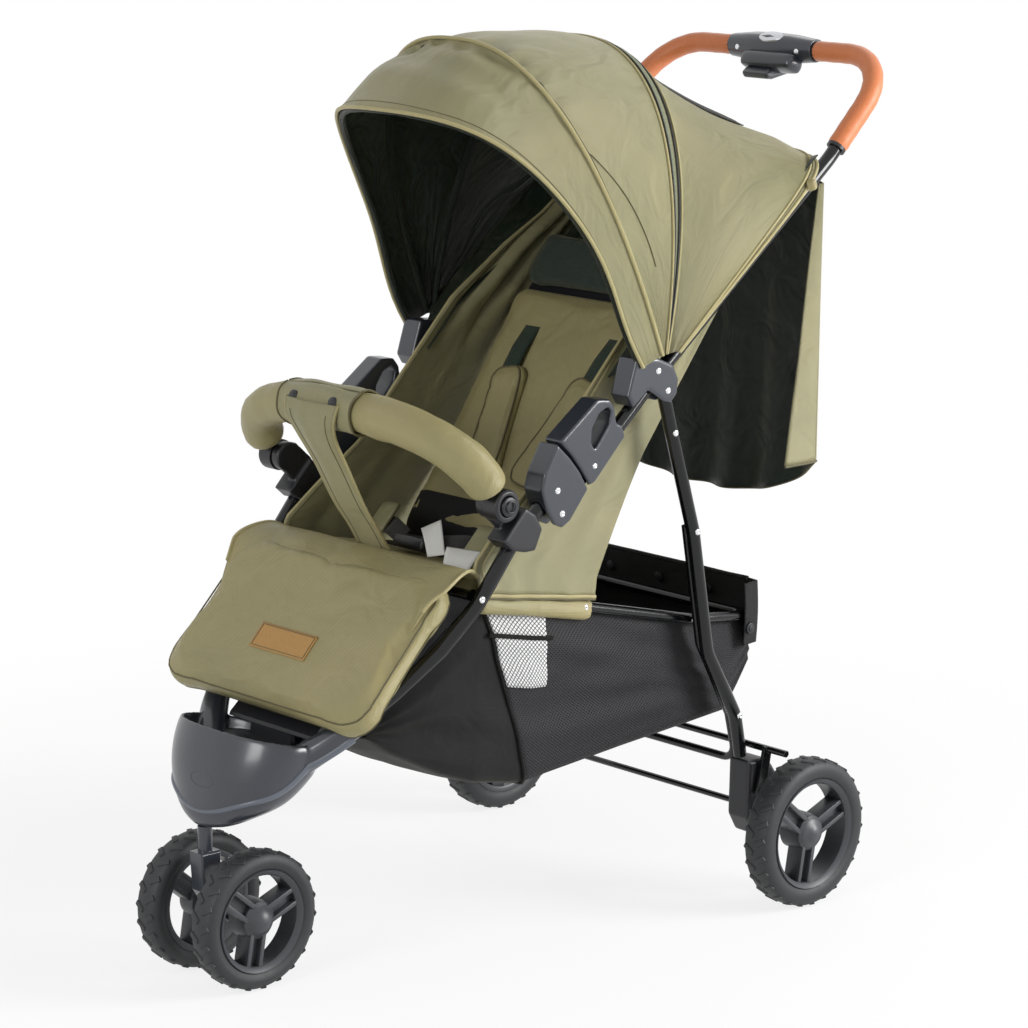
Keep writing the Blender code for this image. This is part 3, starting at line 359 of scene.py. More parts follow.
for node in ("lower_latch_left", "lower_latch_right", "canopy_bracket_left",
             "canopy_bracket_right", "latch_sleeve_left", "latch_sleeve_right"):
    refined(node, charcoal, smooth_voxel=0.0013)
for node in ("bumper_button_left", "bumper_button_right", "bumper_bar"):
    refined(node, black_nylon, 0.0014)
for node in ("bumper_mount_left", "bumper_mount_right", "wheel_bracket_left",
             "wheel_bracket_right"):
    refined(node, black_nylon, smooth_voxel=0.0013)
refined("handle_hub", charcoal, 0.0012)
refined("handle_lever", charcoal, 0.0030)
refined("front_fork", charcoal, 0.0020)
for node in ("seat_board", "leg_rest_board", "backrest_board", "footboard"):
    recoated(node, black_nylon)


def disc(name, centre, normal, radius, height, material, dome=0.4, sides=24, stretch=1.0):
    """A low turned or pressed button that stands on a surface: a cone with a rounded rim."""
    bm = bmesh.new()
    bmesh.ops.create_cone(bm, cap_ends=True, segments=sides, radius1=radius, radius2=radius * 0.94,
                          depth=height * 2)
    rim = [e for e in bm.edges if all(v.co.z > 0 for v in e.verts)]
    bmesh.ops.bevel(bm, geom=rim, offset=min(radius, height) * dome, segments=3, profile=0.5,
                    affect="EDGES", material=-1)
    bmesh.ops.scale(bm, vec=(stretch, 1, 1), verts=bm.verts)
    turn = Vector(normal).normalized().to_track_quat("Z", "Y").to_matrix().to_4x4()
    bmesh.ops.transform(bm, matrix=Matrix.Translation(centre) @ turn, verts=bm.verts)
    return from_bmesh(name, bm, material, normals=False)


# Ring round the bumper's release button, moulded in one with the knuckle's cap
for name, side in both_sides:
    bm = bmesh.new()
    bmesh.ops.create_circle(bm, segments=32, radius=0.0009)
    bmesh.ops.transform(bm, matrix=Matrix.Translation((0.0064, 0, 0)) @ Matrix.Rotation(
        math.pi / 2, 4, "X"), verts=bm.verts)
    bmesh.ops.spin(bm, geom=bm.edges[:], cent=(0, 0, 0), axis=(0, 0, 1), dvec=(0, 0, 0),
                   angle=math.tau, steps=32, use_merge=True)
    bmesh.ops.transform(bm, matrix=Matrix.Translation((side * 0.2150, -0.178, 0.552))
                        @ Matrix.Rotation(math.pi / 2, 4, "Y"), verts=bm.verts)
    ring = from_bmesh(f"button_ring_{name}", bm, black_nylon)
    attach(ring, f"bumper_button_{name}")


# Rivets and screws: domed heads of bright steel with a punched centre
# They hold the latches, brackets, legs and rail, and are closed from the outside.
# Nickel plate: bright, slightly brushed
nickel = grained("nickel_plated_steel_bright", "D9DADC", 0.22, 400, ("CFD0D3", "E6E6E8"),
                 (0.16, 0.32), 0.00003, metal=1.0)


def rivet(name, spot, body, radius=0.0042, height=0.0014, side=1):
    bm = bmesh.new()
    profile = [(0, 0.62), (0.22, 0.60), (0.30, 0.85), (0.50, 1.0), (0.80, 0.72), (1.0, 0.10),
               (1.0, -0.6), (0, -0.6)]
    verts = [bm.verts.new((0, r * radius, h * height)) for r, h in profile]
    chain = [bm.edges.new(pair) for pair in zip(verts, verts[1:])]
    bmesh.ops.spin(bm, geom=verts + chain, cent=(0, 0, 0), axis=(0, 0, 1), dvec=(0, 0, 0),
                   angle=math.tau, steps=20, use_merge=True)
    bmesh.ops.remove_doubles(bm, verts=bm.verts, dist=0.00001)
    bmesh.ops.transform(bm, matrix=Matrix.Translation((spot[0] * side, spot[1], spot[2]))
                        @ Matrix.Rotation(side * math.pi / 2, 4, "Y"), verts=bm.verts)
    head = from_bmesh(name, bm, nickel, sharp=60)
    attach(head, body)


heads = [("latch_upper", (0.2028, -0.0936, 0.5574), "front_frame"),
         ("latch_lower", (0.2028, -0.0860, 0.5295), "front_frame"),
         ("bracket_upper", (0.2025, 0.0687, 0.6776), "upper_frame"),
         ("bracket_lower", (0.2025, 0.0854, 0.6524), "upper_frame"),
         ("leg_upper", (0.1985, 0.1041, 0.5989), "rear_legs"),
         ("leg_middle", (0.1985, 0.1455, 0.4737), "rear_legs"),
         ("leg_foot", (0.1985, 0.2280, 0.2310), "rear_legs"),
         ("front_tube", (0.1945, -0.2024, 0.4457), "front_frame"),
         ("rail", (0.1695, -0.0128, 0.4013), "seat_rail"),
         ("rail_rear", (0.1695, 0.1732, 0.3560), "seat_rail")]
for name, side in both_sides:
    for label, spot, body in heads:
        rivet(f"rivet_{label}_{name}", spot, body, side=side)
    rivet(f"rivet_sleeve_{name}", (0.2015, -0.0332, 0.5782), f"latch_sleeve_{name}",
          0.0036, side=side)
    rivet(f"screw_fork_{name}", (0.0120, -0.4215, 0.1440), "front_fork", 0.0040, side=side)


# Wheels: foamed-rubber tyres on three-spoked rims
# The tyre has a smooth side wall and two rows of leaf-shaped lugs; the rim is one moulding.
# EVA foam rubber: matt dark grey with a faint random bloom
rubber = grained("eva_rubber_matt_dark_grey", "212224", 0.58, 160, ("1B1C1E", "2A2B2D"),
                 (0.50, 0.68), 0.00012)
# Polypropylene: satin charcoal
rim_plastic = grained("polypropylene_satin_charcoal", "3B3C40", 0.40, 700, ("333438", "44464A"),
                      (0.34, 0.48), 0.00005, IOR=1.49)


def lathe(profile, steps):
    """A closed profile of (x, radius) turned round the X axis."""
    bm = bmesh.new()
    verts = [bm.verts.new((x, 0, r)) for x, r in profile]
    chain = [bm.edges.new(pair) for pair in zip(verts, verts[1:] + verts[:1])]
    bmesh.ops.spin(bm, geom=verts + chain, cent=(0, 0, 0), axis=(1, 0, 0), dvec=(0, 0, 0),
                   angle=math.tau, steps=steps, use_merge=True)
    bmesh.ops.remove_doubles(bm, verts=bm.verts, dist=0.00001)
    bmesh.ops.dissolve_degenerate(bm, dist=0.000001, edges=bm.edges)
    return bm


def put_in(target, source):
    """Adds one bmesh's faces to another."""
    spare = bpy.data.meshes.new("spare")
    source.to_mesh(spare)
    source.free()
    target.from_mesh(spare)
    bpy.data.meshes.remove(spare)


def bar_between(size, matrix, ease):
    """A box with eased edges, placed by a matrix."""
    bm = bmesh.new()
    bmesh.ops.create_cube(bm, size=1)
    bmesh.ops.scale(bm, vec=size, verts=bm.verts)
    bmesh.ops.bevel(bm, geom=bm.edges[:], offset=ease, segments=2, profile=0.5, affect="EDGES",
                    material=-1)
    bmesh.ops.transform(bm, matrix=matrix, verts=bm.verts)
    return bm


def wheel(name, side, centre, radius, width, bead, lugs, cap, body):
    half, mirror = width / 2, Matrix.Diagonal((side, 1, 1, 1))
    spot = Matrix.Translation((side * centre[0], centre[1], centre[2])) @ mirror
    shoulder = radius - 0.0085
    wall = [(half - 0.003, bead), (half - 0.001, bead + 0.003), (half - 0.0002, bead + 0.007),
            (half, shoulder - 0.004), (half - 0.0010, shoulder), (half - 0.0032, radius - 0.0042),
            (half - 0.0062, radius - 0.0024)]
    other = [(-x, r) for x, r in wall]
    tyre = lathe(other[:1] + wall + [(0, radius - 0.0014)] + other[:0:-1], 72)
    for index in range(lugs):
        for row, lean in ((1, 0.55), (-1, -0.55)):
            angle = math.tau * (index + 0.25 * row) / lugs
            lug = bar_between((half * 0.86, 0.0070, 0.0030),
                              Matrix.Rotation(angle, 4, "X")
                              @ Matrix.Translation((row * half * 0.44, 0, radius - 0.0024))
                              @ Matrix.Rotation(row * math.radians(6), 4, "Y")
                              @ Matrix.Rotation(lean, 4, "Z"), 0.0011)
            put_in(tyre, lug)
    bmesh.ops.transform(tyre, matrix=spot, verts=tyre.verts)
    piece = from_bmesh(f"{name}_tyre_tread", tyre, rubber, 35)
    side_name = "left" if side > 0 else "right"
    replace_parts(piece, f"{name.split('_')[0]}_tyre_{side_name}")
    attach(piece, body)

    lip, inner = bead - 0.0004, bead - 0.0075
    rim = lathe([(-half + 0.004, inner), (half - 0.0065, inner), (half - 0.0045, inner + 0.0015),
                 (half - 0.0025, inner + 0.0045), (half - 0.0012, lip - 0.001),
                 (half - 0.0028, lip), (-half + 0.0030, lip), (-half + 0.0025, inner + 0.003)], 72)
    face = half - 0.003
    put_in(rim, lathe([(-half + 0.001, 0.005), (half - 0.009, 0.005), (half - 0.009, 0.0003),
                       (face + cap + 0.0035, 0.0003), (face + cap + 0.0030, 0.0045),
                       (face + cap + 0.0012, 0.0095), (face + cap - 0.0025, 0.0140),
                       (face - 0.0015, 0.0165), (face - 0.0035, 0.0185), (face - 0.0060, 0.0215),
                       (0.0, 0.0235), (-half + 0.001, 0.0235)], 40))
    for angle in (50, 170, 290):
        turn = Matrix.Rotation(math.radians(angle), 4, "X")
        reach = inner - 0.0135
        out = 0.0150 + reach / 2
        put_in(rim, bar_between((0.0155, 0.0200, reach + 0.006),
                                turn @ Matrix.Translation((-0.0035, 0, out)), 0.0012))
        for edge in (-1, 1):
            put_in(rim, bar_between((0.0240, 0.0058, reach + 0.006),
                                    turn @ Matrix.Translation((0.0, edge * 0.0088, out)), 0.0013))
    bmesh.ops.transform(rim, matrix=spot, verts=rim.verts)
    piece = from_bmesh(f"{name}_rim_spoked", rim, rim_plastic, 35)
    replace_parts(piece, f"{name.split('_')[0]}_rim_{side_name}")
    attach(piece, body)


for name, side in both_sides:
    wheel(f"front_{name}", side, (0.050, -0.419, 0.082), 0.082, 0.036, 0.061, 22, 0.004,
          f"front_wheel_{name}")
    wheel(f"rear_{name}", side, (0.273, 0.267, 0.093), 0.093, 0.039, 0.0695, 26, 0.0015,
          f"rear_wheel_{name}")


# Nose: the moulded shell between the front tubes and the swivelling wheels
# One ABS moulding with a satin skin; a low ridge runs up each arm, drawn in a lighter grey as a
# painted highlight along its edge.
def between(rows, t):
    """Smooth value between evenly spaced rows of numbers."""
    place = min(max(t, 0.0), 1.0) * (len(rows) - 1)
    k = min(int(place), len(rows) - 2)
    f = place - k
    p0, p1, p2, p3 = (rows[min(max(k + d, 0), len(rows) - 1)] for d in (-1, 0, 1, 2))
    return [b + 0.5 * f * (c - a + f * (2 * a - 5 * b + 4 * c - d + f * (3 * (b - c) + d - a)))
            for a, b, c, d in zip(p0, p1, p2, p3)]


def squared(value, power):
    """value to a power, sign kept; a power below 1 gives an oval squarer corners."""
    return math.copysign(abs(value) ** power, value)


def shares(count):
    """0 to 1 in so many even steps."""
    return [i / count for i in range(count + 1)]


def settled(piece):
    """Applies what modifiers the piece has."""
    graph = bpy.context.evaluated_depsgraph_get()
    made = bpy.data.meshes.new_from_object(piece.evaluated_get(graph))
    piece.modifiers.clear()
    piece.data = made
    made.shade_smooth()
    return piece


def laid_on(piece, points, lift):
    """Points moved onto a piece's surface, then off it by lift."""
    out = []
    for point in points:
        found, spot, normal, face = piece.closest_point_on_mesh(Vector(point))
        out.append(spot + normal * lift)
    return out


# Rings from the swivel boss up the outside, over the rim and down to the floor of the bowl
bowl_rows = [(0.1870, 0.0030, -0.4400, 0.0030, 2.0), (0.1880, 0.0150, -0.4400, 0.0150, 2.0),
             (0.1915, 0.0320, -0.4370, 0.0215, 2.1), (0.2010, 0.0530, -0.4287, 0.0320, 2.2),
             (0.2180, 0.0780, -0.4110, 0.0480, 2.3), (0.2430, 0.0920, -0.3960, 0.0610, 2.4),
             (0.2620, 0.0975, -0.3900, 0.0615, 2.4), (0.2790, 0.0985, -0.3840, 0.0600, 2.4),
             (0.2880, 0.0955, -0.3820, 0.0570, 2.4), (0.2870, 0.0925, -0.3820, 0.0545, 2.4),
             (0.2760, 0.0880, -0.3820, 0.0505, 2.4), (0.2640, 0.0800, -0.3820, 0.0445, 2.4),
             (0.2600, 0.0550, -0.3820, 0.0300, 2.2), (0.2600, 0.0030, -0.3820, 0.0030, 2.0)]


def bowl_spot(u, v):
    z, half, middle_y, deep, power = between(bowl_rows, v)
    y = squared(math.sin(math.tau * u), 2 / power) * deep
    return Vector((squared(math.cos(math.tau * u), 2 / power) * half, middle_y + y,
                   z - 0.20 * max(0.0, (z - 0.2430) / 0.0450) * y))


bm = bmesh.new()
bmesh.ops.create_grid(bm, x_segments=96, y_segments=90, size=0.5)
for vert in bm.verts:
    vert.co = bowl_spot(vert.co.x + 0.5, vert.co.y + 0.5)
bmesh.ops.remove_doubles(bm, verts=bm.verts, dist=0.00002)
bmesh.ops.holes_fill(bm, edges=[e for e in bm.edges if e.is_boundary])
nose_arm = [(0.036, -0.412, 0.224), (0.056, -0.394, 0.243), (0.080, -0.374, 0.266),
            (0.102, -0.352, 0.287), (0.1255, -0.3217, 0.3125)]
nose = from_bmesh("nose_shell_moulded", bm, charcoal)
arm_radii = [(0.0160,), (0.0175,), (0.0180,), (0.0165,), (0.0132,)]
arms = [tube("nose_arm", on_side([between(nose_arm, t) for t in shares(30)], side),
             [between(arm_radii, t)[0] for t in shares(30)], charcoal) for name, side in both_sides]
bm = bmesh.new()
for part in (nose, *arms):
    bm.from_mesh(part.data)
for part in arms:
    bpy.data.objects.remove(part)
bm.to_mesh(nose.data)
bm.free()
melt = nose.modifiers.new("moulded_in_one", "REMESH")
melt.mode, melt.voxel_size, melt.use_smooth_shade = "VOXEL", 0.0014, True
soften = nose.modifiers.new("soften", "SMOOTH")
soften.iterations = 12
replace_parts(settled(nose), "nose_shell")
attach(nose, "front_frame")
# ABS again, a lighter grey with a finer skin: a painted highlight along the arms' ridge
ridge_highlight_grey = grained("abs_plastic_satin_mid_grey", "5A5F68", 0.30, 900, ("545962", "626771"),
                    (0.24, 0.36), 0.00004, IOR=1.5)
arm_line = [(0.118, -0.335, 0.300), (0.098, -0.372, 0.268), (0.072, -0.415, 0.238),
            (0.038, -0.452, 0.215), (0, -0.465, 0.208)]
band = [between(arm_line + on_side(arm_line, -1)[-2::-1], t) for t in shares(80)]
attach(tube("nose_trim", laid_on(nose, band, -0.0012),
             [0.0022 + 0.0034 * abs(i / 40 - 1) for i in range(81)], ridge_highlight_grey),
        "front_frame")
# Bare oval in low relief on the bowl's front
badge = [Vector((0.004 + 0.019 * math.cos(a), -0.46, 0.245 + 0.009 * math.sin(a)))
         for a in [math.tau * t for t in shares(40)[:-1]]]
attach(tube("nose_oval", laid_on(nose, badge, -0.0003), 0.0008, charcoal, 8,
             closed=True), "front_frame")


# Grips: foam sleeves with a leather-like skin on the handle, either side of the hub
# Pushed on over the tube; each ends in a black plastic collar.
# Polyurethane leathercloth: orange tan, soft sheen, a pebble grain of about 1.5 mm
tan_skin = grained("pu_leathercloth_orange_tan", "CC7646", 0.48, 520, ("BE683A", "D68352"),
                   (0.40, 0.56), 0.00022, Sheen_Weight=0.25, Sheen_Roughness=0.4)


def stretch(path, start, end):
    """The part of a path between two distances along it."""
    out, run = [], 0.0
    for a, b in zip(path, path[1:]):
        step = (b - a).length
        out += [a.lerp(b, (mark - run) / step) for mark in (start, end) if run < mark <= run + step]
        if start < run + step < end:
            out.append(b)
        run += step
    return out


def path_length(path):
    return sum((b - a).length for a, b in zip(path, path[1:]))


def even(path, count):
    """The same path with evenly spaced points."""
    gap = path_length(path) / (count - 1)
    out, run, mark = [path[0].copy()], 0.0, gap
    for a, b in zip(path, path[1:]):
        step = (b - a).length
        while step > 0 and run + step >= mark - 1e-9 and len(out) < count:
            out.append(a.lerp(b, (mark - run) / step))
            mark += gap
        run += step
    return out if len(out) == count else out + [path[-1].copy()]


half_length, hub_half, grip_length = path_length(handle_line) / 2, 0.070, 0.233
grip_line = even(stretch(handle_line, half_length - hub_half - grip_length,
                         half_length - hub_half - 0.001), 40)
for name, side in both_sides:
    swell = [0.0128 - 0.0008 * (1 if i in (0, 39) else 0) + 0.00018 * math.sin(i * 1.7)
             for i in range(40)]
    grip = tube(f"grip_{name}", on_side(grip_line, side), swell, tan_skin, 28)
    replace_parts(grip, f"handle_grip_{name}")
    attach(grip, "upper_frame")
    for label, line in (("outer", grip_line[:2]), ("inner", grip_line[-1:-3:-1])):
        back = (line[0] - line[1]).normalized() * 0.003
        ends = on_side([line[0] + back, line[0] - back * 0.5], side)
        collar = tube(f"grip_collar_{label}_{name}", ends, 0.0122, black_nylon, 28)
        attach(collar, "upper_frame")

# Bare oval plate on the hub, two screws and the ends of the release wires
# Anodised aluminium: pale, satin
plate_metal = grained("anodised_aluminium_satin", "C4C6C9", 0.34, 500, ("BABCC0", "CDCFD2"),
                      (0.28, 0.42), 0.00002, metal=1.0)
hub_centre = Vector((0, 0.4826, 1.0205))
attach(disc("hub_plate", hub_centre + Vector((0.004, -0.0130, 0.0150)), (0, -0.55, 0.83),
             0.0100, 0.0011, plate_metal, stretch=2.0, sides=40), "upper_frame")
apron = from_bmesh("hub_apron", bar_between(
    (0.088, 0.032, 0.024), Matrix.Translation((0.010, 0.4640, 1.0040))
    @ Matrix.Rotation(math.radians(-24), 4, "X"), 0.009), charcoal, 60)
eased = apron.modifiers.new("rounder", "SUBSURF")
eased.levels = eased.render_levels = 2
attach(apron, "upper_frame")
for name, x in (("left", 0.050), ("right", -0.050)):
    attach(disc(f"hub_screw_{name}", hub_centre + Vector((x, -0.0165, -0.001)), (0, -1, 0.05),
                 0.0036, 0.0012, nickel), "upper_frame")
for index in range(4):
    spot = hub_centre + Vector((0.018 + 0.008 * index, -0.0195 + 0.0005 * index, -0.0055))
    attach(disc(f"hub_wire_end_{index}", spot, (0, -1, -0.2), 0.0014, 0.0014, nickel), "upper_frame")


# Hood: three cloth panels over wire bows, with piped seams and a double zip
# Cut flat, sewn to a crown and lined; it folds back about the pivot under the hood bracket.
# Satin polyester, coated: khaki olive, plain weave of about 1 mm (coarser than real, to show)
def woven(name, base, shade, rough, where, sheen=0.3, depth=0.00016, thread=0.0011, crease=0.0016,
          ior=1.45):
    """Cloth: a mottle of 10 cm, soft creases of 3 cm and a plain weave. where is UV or Object."""
    made, tree, shader = finish_of(name, base, rough, Sheen_Weight=sheen, Sheen_Roughness=0.45,
                                   Sheen_Tint=srgb("D9D2B0"), IOR=ior)
    spot = add_node(tree, "ShaderNodeTexCoord").outputs[where]
    mottle = add_node(tree, "ShaderNodeTexNoise", {"Vector": spot, "Scale": 7, "Detail": 4,
                                                   "Distortion": 0.4})
    tint = add_node(tree, "ShaderNodeMix", {"Factor": mottle.outputs["Fac"], 6: srgb(shade),
                                            7: srgb(base)}, data_type="RGBA")
    period = math.tau / (20 * thread)
    warp = add_node(tree, "ShaderNodeTexWave", {"Vector": spot, "Scale": period},
                    bands_direction="X")
    weft = add_node(tree, "ShaderNodeTexWave", {"Vector": spot, "Scale": period},
                    bands_direction="Y" if where == "UV" else "Z")
    weave = add_node(tree, "ShaderNodeMath", {0: warp.outputs["Fac"], 1: weft.outputs["Fac"]},
                     operation="ADD")
    thread_tint = add_node(tree, "ShaderNodeMapRange", {"Value": weave.outputs[0], "From Max": 2,
                                                        "To Min": 0.93, "To Max": 1.04})
    shaded = add_node(tree, "ShaderNodeVectorMath", {0: tint.outputs[2],
                                                     "Scale": thread_tint.outputs["Result"]},
                      operation="SCALE")
    tree.links.new(shaded.outputs[0], shader.inputs["Base Color"])
    folds = add_node(tree, "ShaderNodeTexNoise", {"Vector": spot, "Scale": 17, "Detail": 2,
                                                  "Distortion": 1.1})
    soft = add_node(tree, "ShaderNodeBump", {"Height": folds.outputs["Fac"], "Distance": crease})
    fine = add_node(tree, "ShaderNodeBump", {"Height": weave.outputs[0], "Distance": depth,
                                             "Normal": soft.outputs["Normal"]})
    tree.links.new(fine.outputs["Normal"], shader.inputs["Normal"])
    return made


olive = woven("polyester_satin_woven_olive", "A09571", "777A58", 0.40, "UV", 0.15, crease=0.0060)
olive_stuffed = woven("polyester_satin_stuffed_olive", "A7996C", "848158", 0.40, "Object", 0.15,
                      crease=0.0038)
# The same cloth wrapped round a cord, painted darker as the shade in seams and grooves beside the
# ridges; also used for the stitch lines
painted_shade_piping = woven("polyester_piping_olive", "5E5738", "4E482E", 0.55, "Object", 0.2)
# The same cloth painted lighter on pipings and bindings: a painted highlight along their ridges
painted_highlight_piping = woven("polyester_piping_light_olive", "AFA577", "A0966A", 0.45, "Object", 0.2)
# Taffeta lining: very dark green with a soft sheen
lining = woven("taffeta_lining_dark_green", "1A2A20", "0F1A14", 0.30, "UV", 0.2, crease=0.012,
               ior=1.36)
zip_tape = woven("zip_tape_grey_green", "7C8268", "6F755D", 0.7, "Object", 0.1, 0.0003, 0.0016, 0)
zip_coil = grained("nylon_zip_coil_black", "101113", 0.35, 1500, ("0C0D0F", "1A1B1E"),
                   (0.3, 0.5), 0.0004)


def spread(name, spot, columns, rows, materials, inside, thick):
    """Cloth over a surface: a grid whose u, v from 0 to 1 are moved to spot(u, v).

    Its UV is in metres, its faces turn away from inside, and the thickness goes inwards.
    """
    table = [[Vector(spot(u, v)) for u in shares(columns)] for v in shares(rows)]
    rows_long = [path_length(row) for row in table]
    columns_long = [path_length(column) for column in zip(*table)]
    mean = (sum(rows_long) / len(rows_long), sum(columns_long) / len(columns_long))
    bm = bmesh.new()
    uv = bm.loops.layers.uv.new("cut")
    bmesh.ops.create_grid(bm, x_segments=columns, y_segments=rows, size=0.5)
    for face in bm.faces:
        for loop in face.loops:
            loop[uv].uv = ((loop.vert.co.x + 0.5) * mean[0], (loop.vert.co.y + 0.5) * mean[1])
    for vert in bm.verts:
        vert.co = spot(min(1, max(0, vert.co.x + 0.5)), min(1, max(0, vert.co.y + 0.5)))
    bm.normal_update()
    facing = sum(f.normal.dot(f.calc_center_median() - Vector(inside)) for f in bm.faces)
    if facing < 0:
        bmesh.ops.reverse_faces(bm, faces=bm.faces)
    piece = from_bmesh(name, bm, materials, sharp=70, normals=False)
    wall = piece.modifiers.new("cloth_thickness", "SOLIDIFY")
    wall.thickness, wall.offset = thick, -1
    if isinstance(materials, (list, tuple)):
        wall.material_offset = 1
    return piece


hood_y, hood_z, hood_half = 0.075, 0.685, 0.2056
hood_inside = (0, 0.075, 0.76)


def over_hood(u, angle, crown, lift=0.0, half=hood_half, power=2.5, low=0.012):
    """A point of one line of cloth over the hood, from the left hinge (u 0) to the right."""
    first = math.asin(min(1.0, (low / crown) ** (power / 2)))
    turn = first + (math.pi - 2 * first) * u
    s = max(0.0, math.sin(turn))
    r = crown * s ** (2 / power)
    a = math.radians(angle + lift * s ** 4)
    return Vector((squared(math.cos(turn), 2 / power) * half, hood_y + r * math.cos(a),
                   hood_z + r * math.sin(a)))


def crumple(u, v, scale, amount, seed=0.0):
    return noise.noise(Vector((u * scale, v * scale * 0.5, seed))) * amount


visor_rows = [(125, 0.400, 7.0), (120.5, 0.403, 3.5), (116, 0.399, 1.2), (112, 0.400, 0.0)]
panel_rows = [(112, 0.400), (104, 0.386), (96, 0.377), (88, 0.371), (80, 0.368)]


def arc_mid(u):
    """0 at the hinges, 1 over the crown."""
    return math.sin(math.pi * u)


def visor_spot(u, v, out=0.0):
    angle, crown, lift = between(visor_rows, v)
    seam = math.exp(-((1 - v) / 0.22) ** 2)
    pucker = -0.024 * seam * (1 - math.exp(-((1 - v) / 0.04) ** 2)) * abs(noise.noise(
        Vector((u * 26, v * 2.0, 3.1))))
    slack = crumple(u, v, 7, 0.010) * math.sin(math.pi * v) ** 0.5 if 0 < v < 1 else 0.0
    spot = over_hood(u, angle, crown + out + arc_mid(u) ** 2 * (pucker + slack), lift,
                     hood_half + out)
    blunt = 0.028 * (1 - v) * math.exp(-(min(u, 1 - u) / 0.075) ** 2)
    return spot - Vector((0, blunt, 0.35 * blunt))


def panel_spot(u, v, out=0.0):
    angle, crown = between(panel_rows, v)
    seam = math.exp(-(v / 0.16) ** 2)
    pucker = -0.020 * seam * (1 - math.exp(-(v / 0.03) ** 2)) * abs(noise.noise(
        Vector((u * 24, v * 2.0, 8.7))))
    slack = crumple(u, v, 5, 0.0060, 5.0) * math.sin(math.pi * min(1, max(0, v)))
    return over_hood(u, angle, crown + out + arc_mid(u) ** 2 * (pucker + slack), 0.0,
                     hood_half + out)


def rear_spot(u, v, out=0.0):
    angle, crown = 80 - 41.5 * v, 0.368 - 0.009 * v - 0.120 * v * (1 - v)
    crown -= 0.010 * math.sin(math.pi * min(1.0, max(0.0, v / 0.8)))
    half = min(hood_half + 0.020 * v, 0.2125) + out
    slack = crumple(u, v, 5, 0.0060, 9.0) * math.sin(math.pi * min(1, max(0, v)))
    return over_hood(u, angle, crown + out + slack, 0.0, half, 2.5 + 9 * v * v,
                     0.012 + 0.010 * v)


def carried_by():
    """A step for a piece that stretches from the frame to a bow: it bakes the piece's placement into
    its mesh.
    """
    return lambda piece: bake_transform(piece)


with_front = carried_by()
with_middle = carried_by()
with_rear = carried_by()
for name, spot, rows, node, bow, hold in (
        ("visor", visor_spot, 24, "visor", "front", with_front),
        ("middle_panel", panel_spot, 40, "mid_panel", "mid", with_middle),
        ("rear_panel", rear_spot, 40, "rear_panel", "rear", with_rear)):
    cloth = spread(f"hood_{name}", spot, 110, rows, (olive, lining), hood_inside,
                   0.0016)
    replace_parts(cloth, f"canopy_{node}")
    hold(cloth)


def line_on(spot, v, out, start=0.0, end=1.0):
    return [spot(start + (end - start) * t, v, out) for t in shares(90)]


pipings = [("hood_front_binding", line_on(visor_spot, 0.0, -0.0004), 0.0024, painted_highlight_piping,
            with_front),
           ("hood_front_stitch", line_on(visor_spot, 0.085, 0.0000), 0.0005, painted_shade_piping, with_front),
           ("hood_middle_seam", line_on(panel_spot, 0.0, 0.0012), 0.0024, painted_highlight_piping,
            with_middle),
           ("hood_middle_shadow", line_on(panel_spot, 0.022, -0.0002), 0.0010, painted_shade_piping, with_middle),
           ("hood_middle_stitch", line_on(panel_spot, 0.055, 0.0000), 0.0005, painted_shade_piping, with_middle),
           ("hood_zip_piping_front", line_on(panel_spot, 0.900, 0.0008), 0.0016, painted_highlight_piping,
            with_middle),
           ("hood_zip_front", line_on(panel_spot, 0.932, 0.0012), 0.0011, zip_coil, with_middle),
           ("hood_zip_rear", line_on(rear_spot, 0.024, 0.0012), 0.0011, zip_coil, with_rear),
           ("hood_zip_piping_rear", line_on(rear_spot, 0.052, 0.0008), 0.0016, painted_highlight_piping,
            with_rear),
           ("hood_hem_piping_upper", line_on(rear_spot, 0.955, 0.0006), 0.0017, painted_highlight_piping,
            with_rear),
           ("hood_hem_shadow", line_on(rear_spot, 0.972, 0.0000), 0.0010, painted_shade_piping, with_rear),
           ("hood_hem_piping_lower", line_on(rear_spot, 1.0, 0.0002), 0.0024, painted_highlight_piping,
            with_rear)]
for name, path, radius, made, hold in pipings:
    hold(tube(name, path, radius, made, 12))
for name, flip in (("left", 0), ("right", 1)):
    dart = [panel_spot(abs(flip - (0.205 - 0.135 * t)), 0.06 + 0.42 * t, 0.0006)
            for t in shares(24)]
    with_middle(tube(f"hood_dart_{name}", dart, 0.0006, painted_shade_piping, 10))
tape = spread("hood_zip_tape", lambda u, v: panel_spot(u, 0.935 + 0.065 * v, 0.0008), 110, 3,
              zip_tape, hood_inside, 0.0008)
with_middle(tape)

# Sleeves of lining cloth that hold the wire bows against the hood
for name, spot, v, hold, node in (
        ("front", visor_spot, 0.035, with_front, "canopy_front_bow"),
        ("middle", panel_spot, 0.012, with_middle, "canopy_mid_bow"),
        ("rear", rear_spot, 0.02, with_rear, "canopy_rear_bow")):
    sleeve = tube(f"hood_bow_sleeve_{name}", line_on(spot, v, -0.0066, 0.004, 0.996), 0.0042,
                  lining, 12)
    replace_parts(sleeve, node)
    hold(sleeve)

# Knots at the hem's rear corners, and the zip's pull and loop at the right front hinge
for name, u in (("left", 0.132), ("right", 0.868)):
    knot = disc(f"hood_hem_knot_{name}", rear_spot(u, 1.0, 0.004), (1 if u < 0.5 else -1, 0.6, 0.4),
                0.0075, 0.0050, olive_stuffed, 0.8)
    with_rear(knot)
pull = [visor_spot(1.0, 0.02, 0.0) + Vector((-0.002, 0, -dz)) for dz in (0.0, 0.010, 0.022)]
with_front(tube("hood_zip_pull", pull, [0.0016, 0.0022, 0.0034], black_nylon, 12))


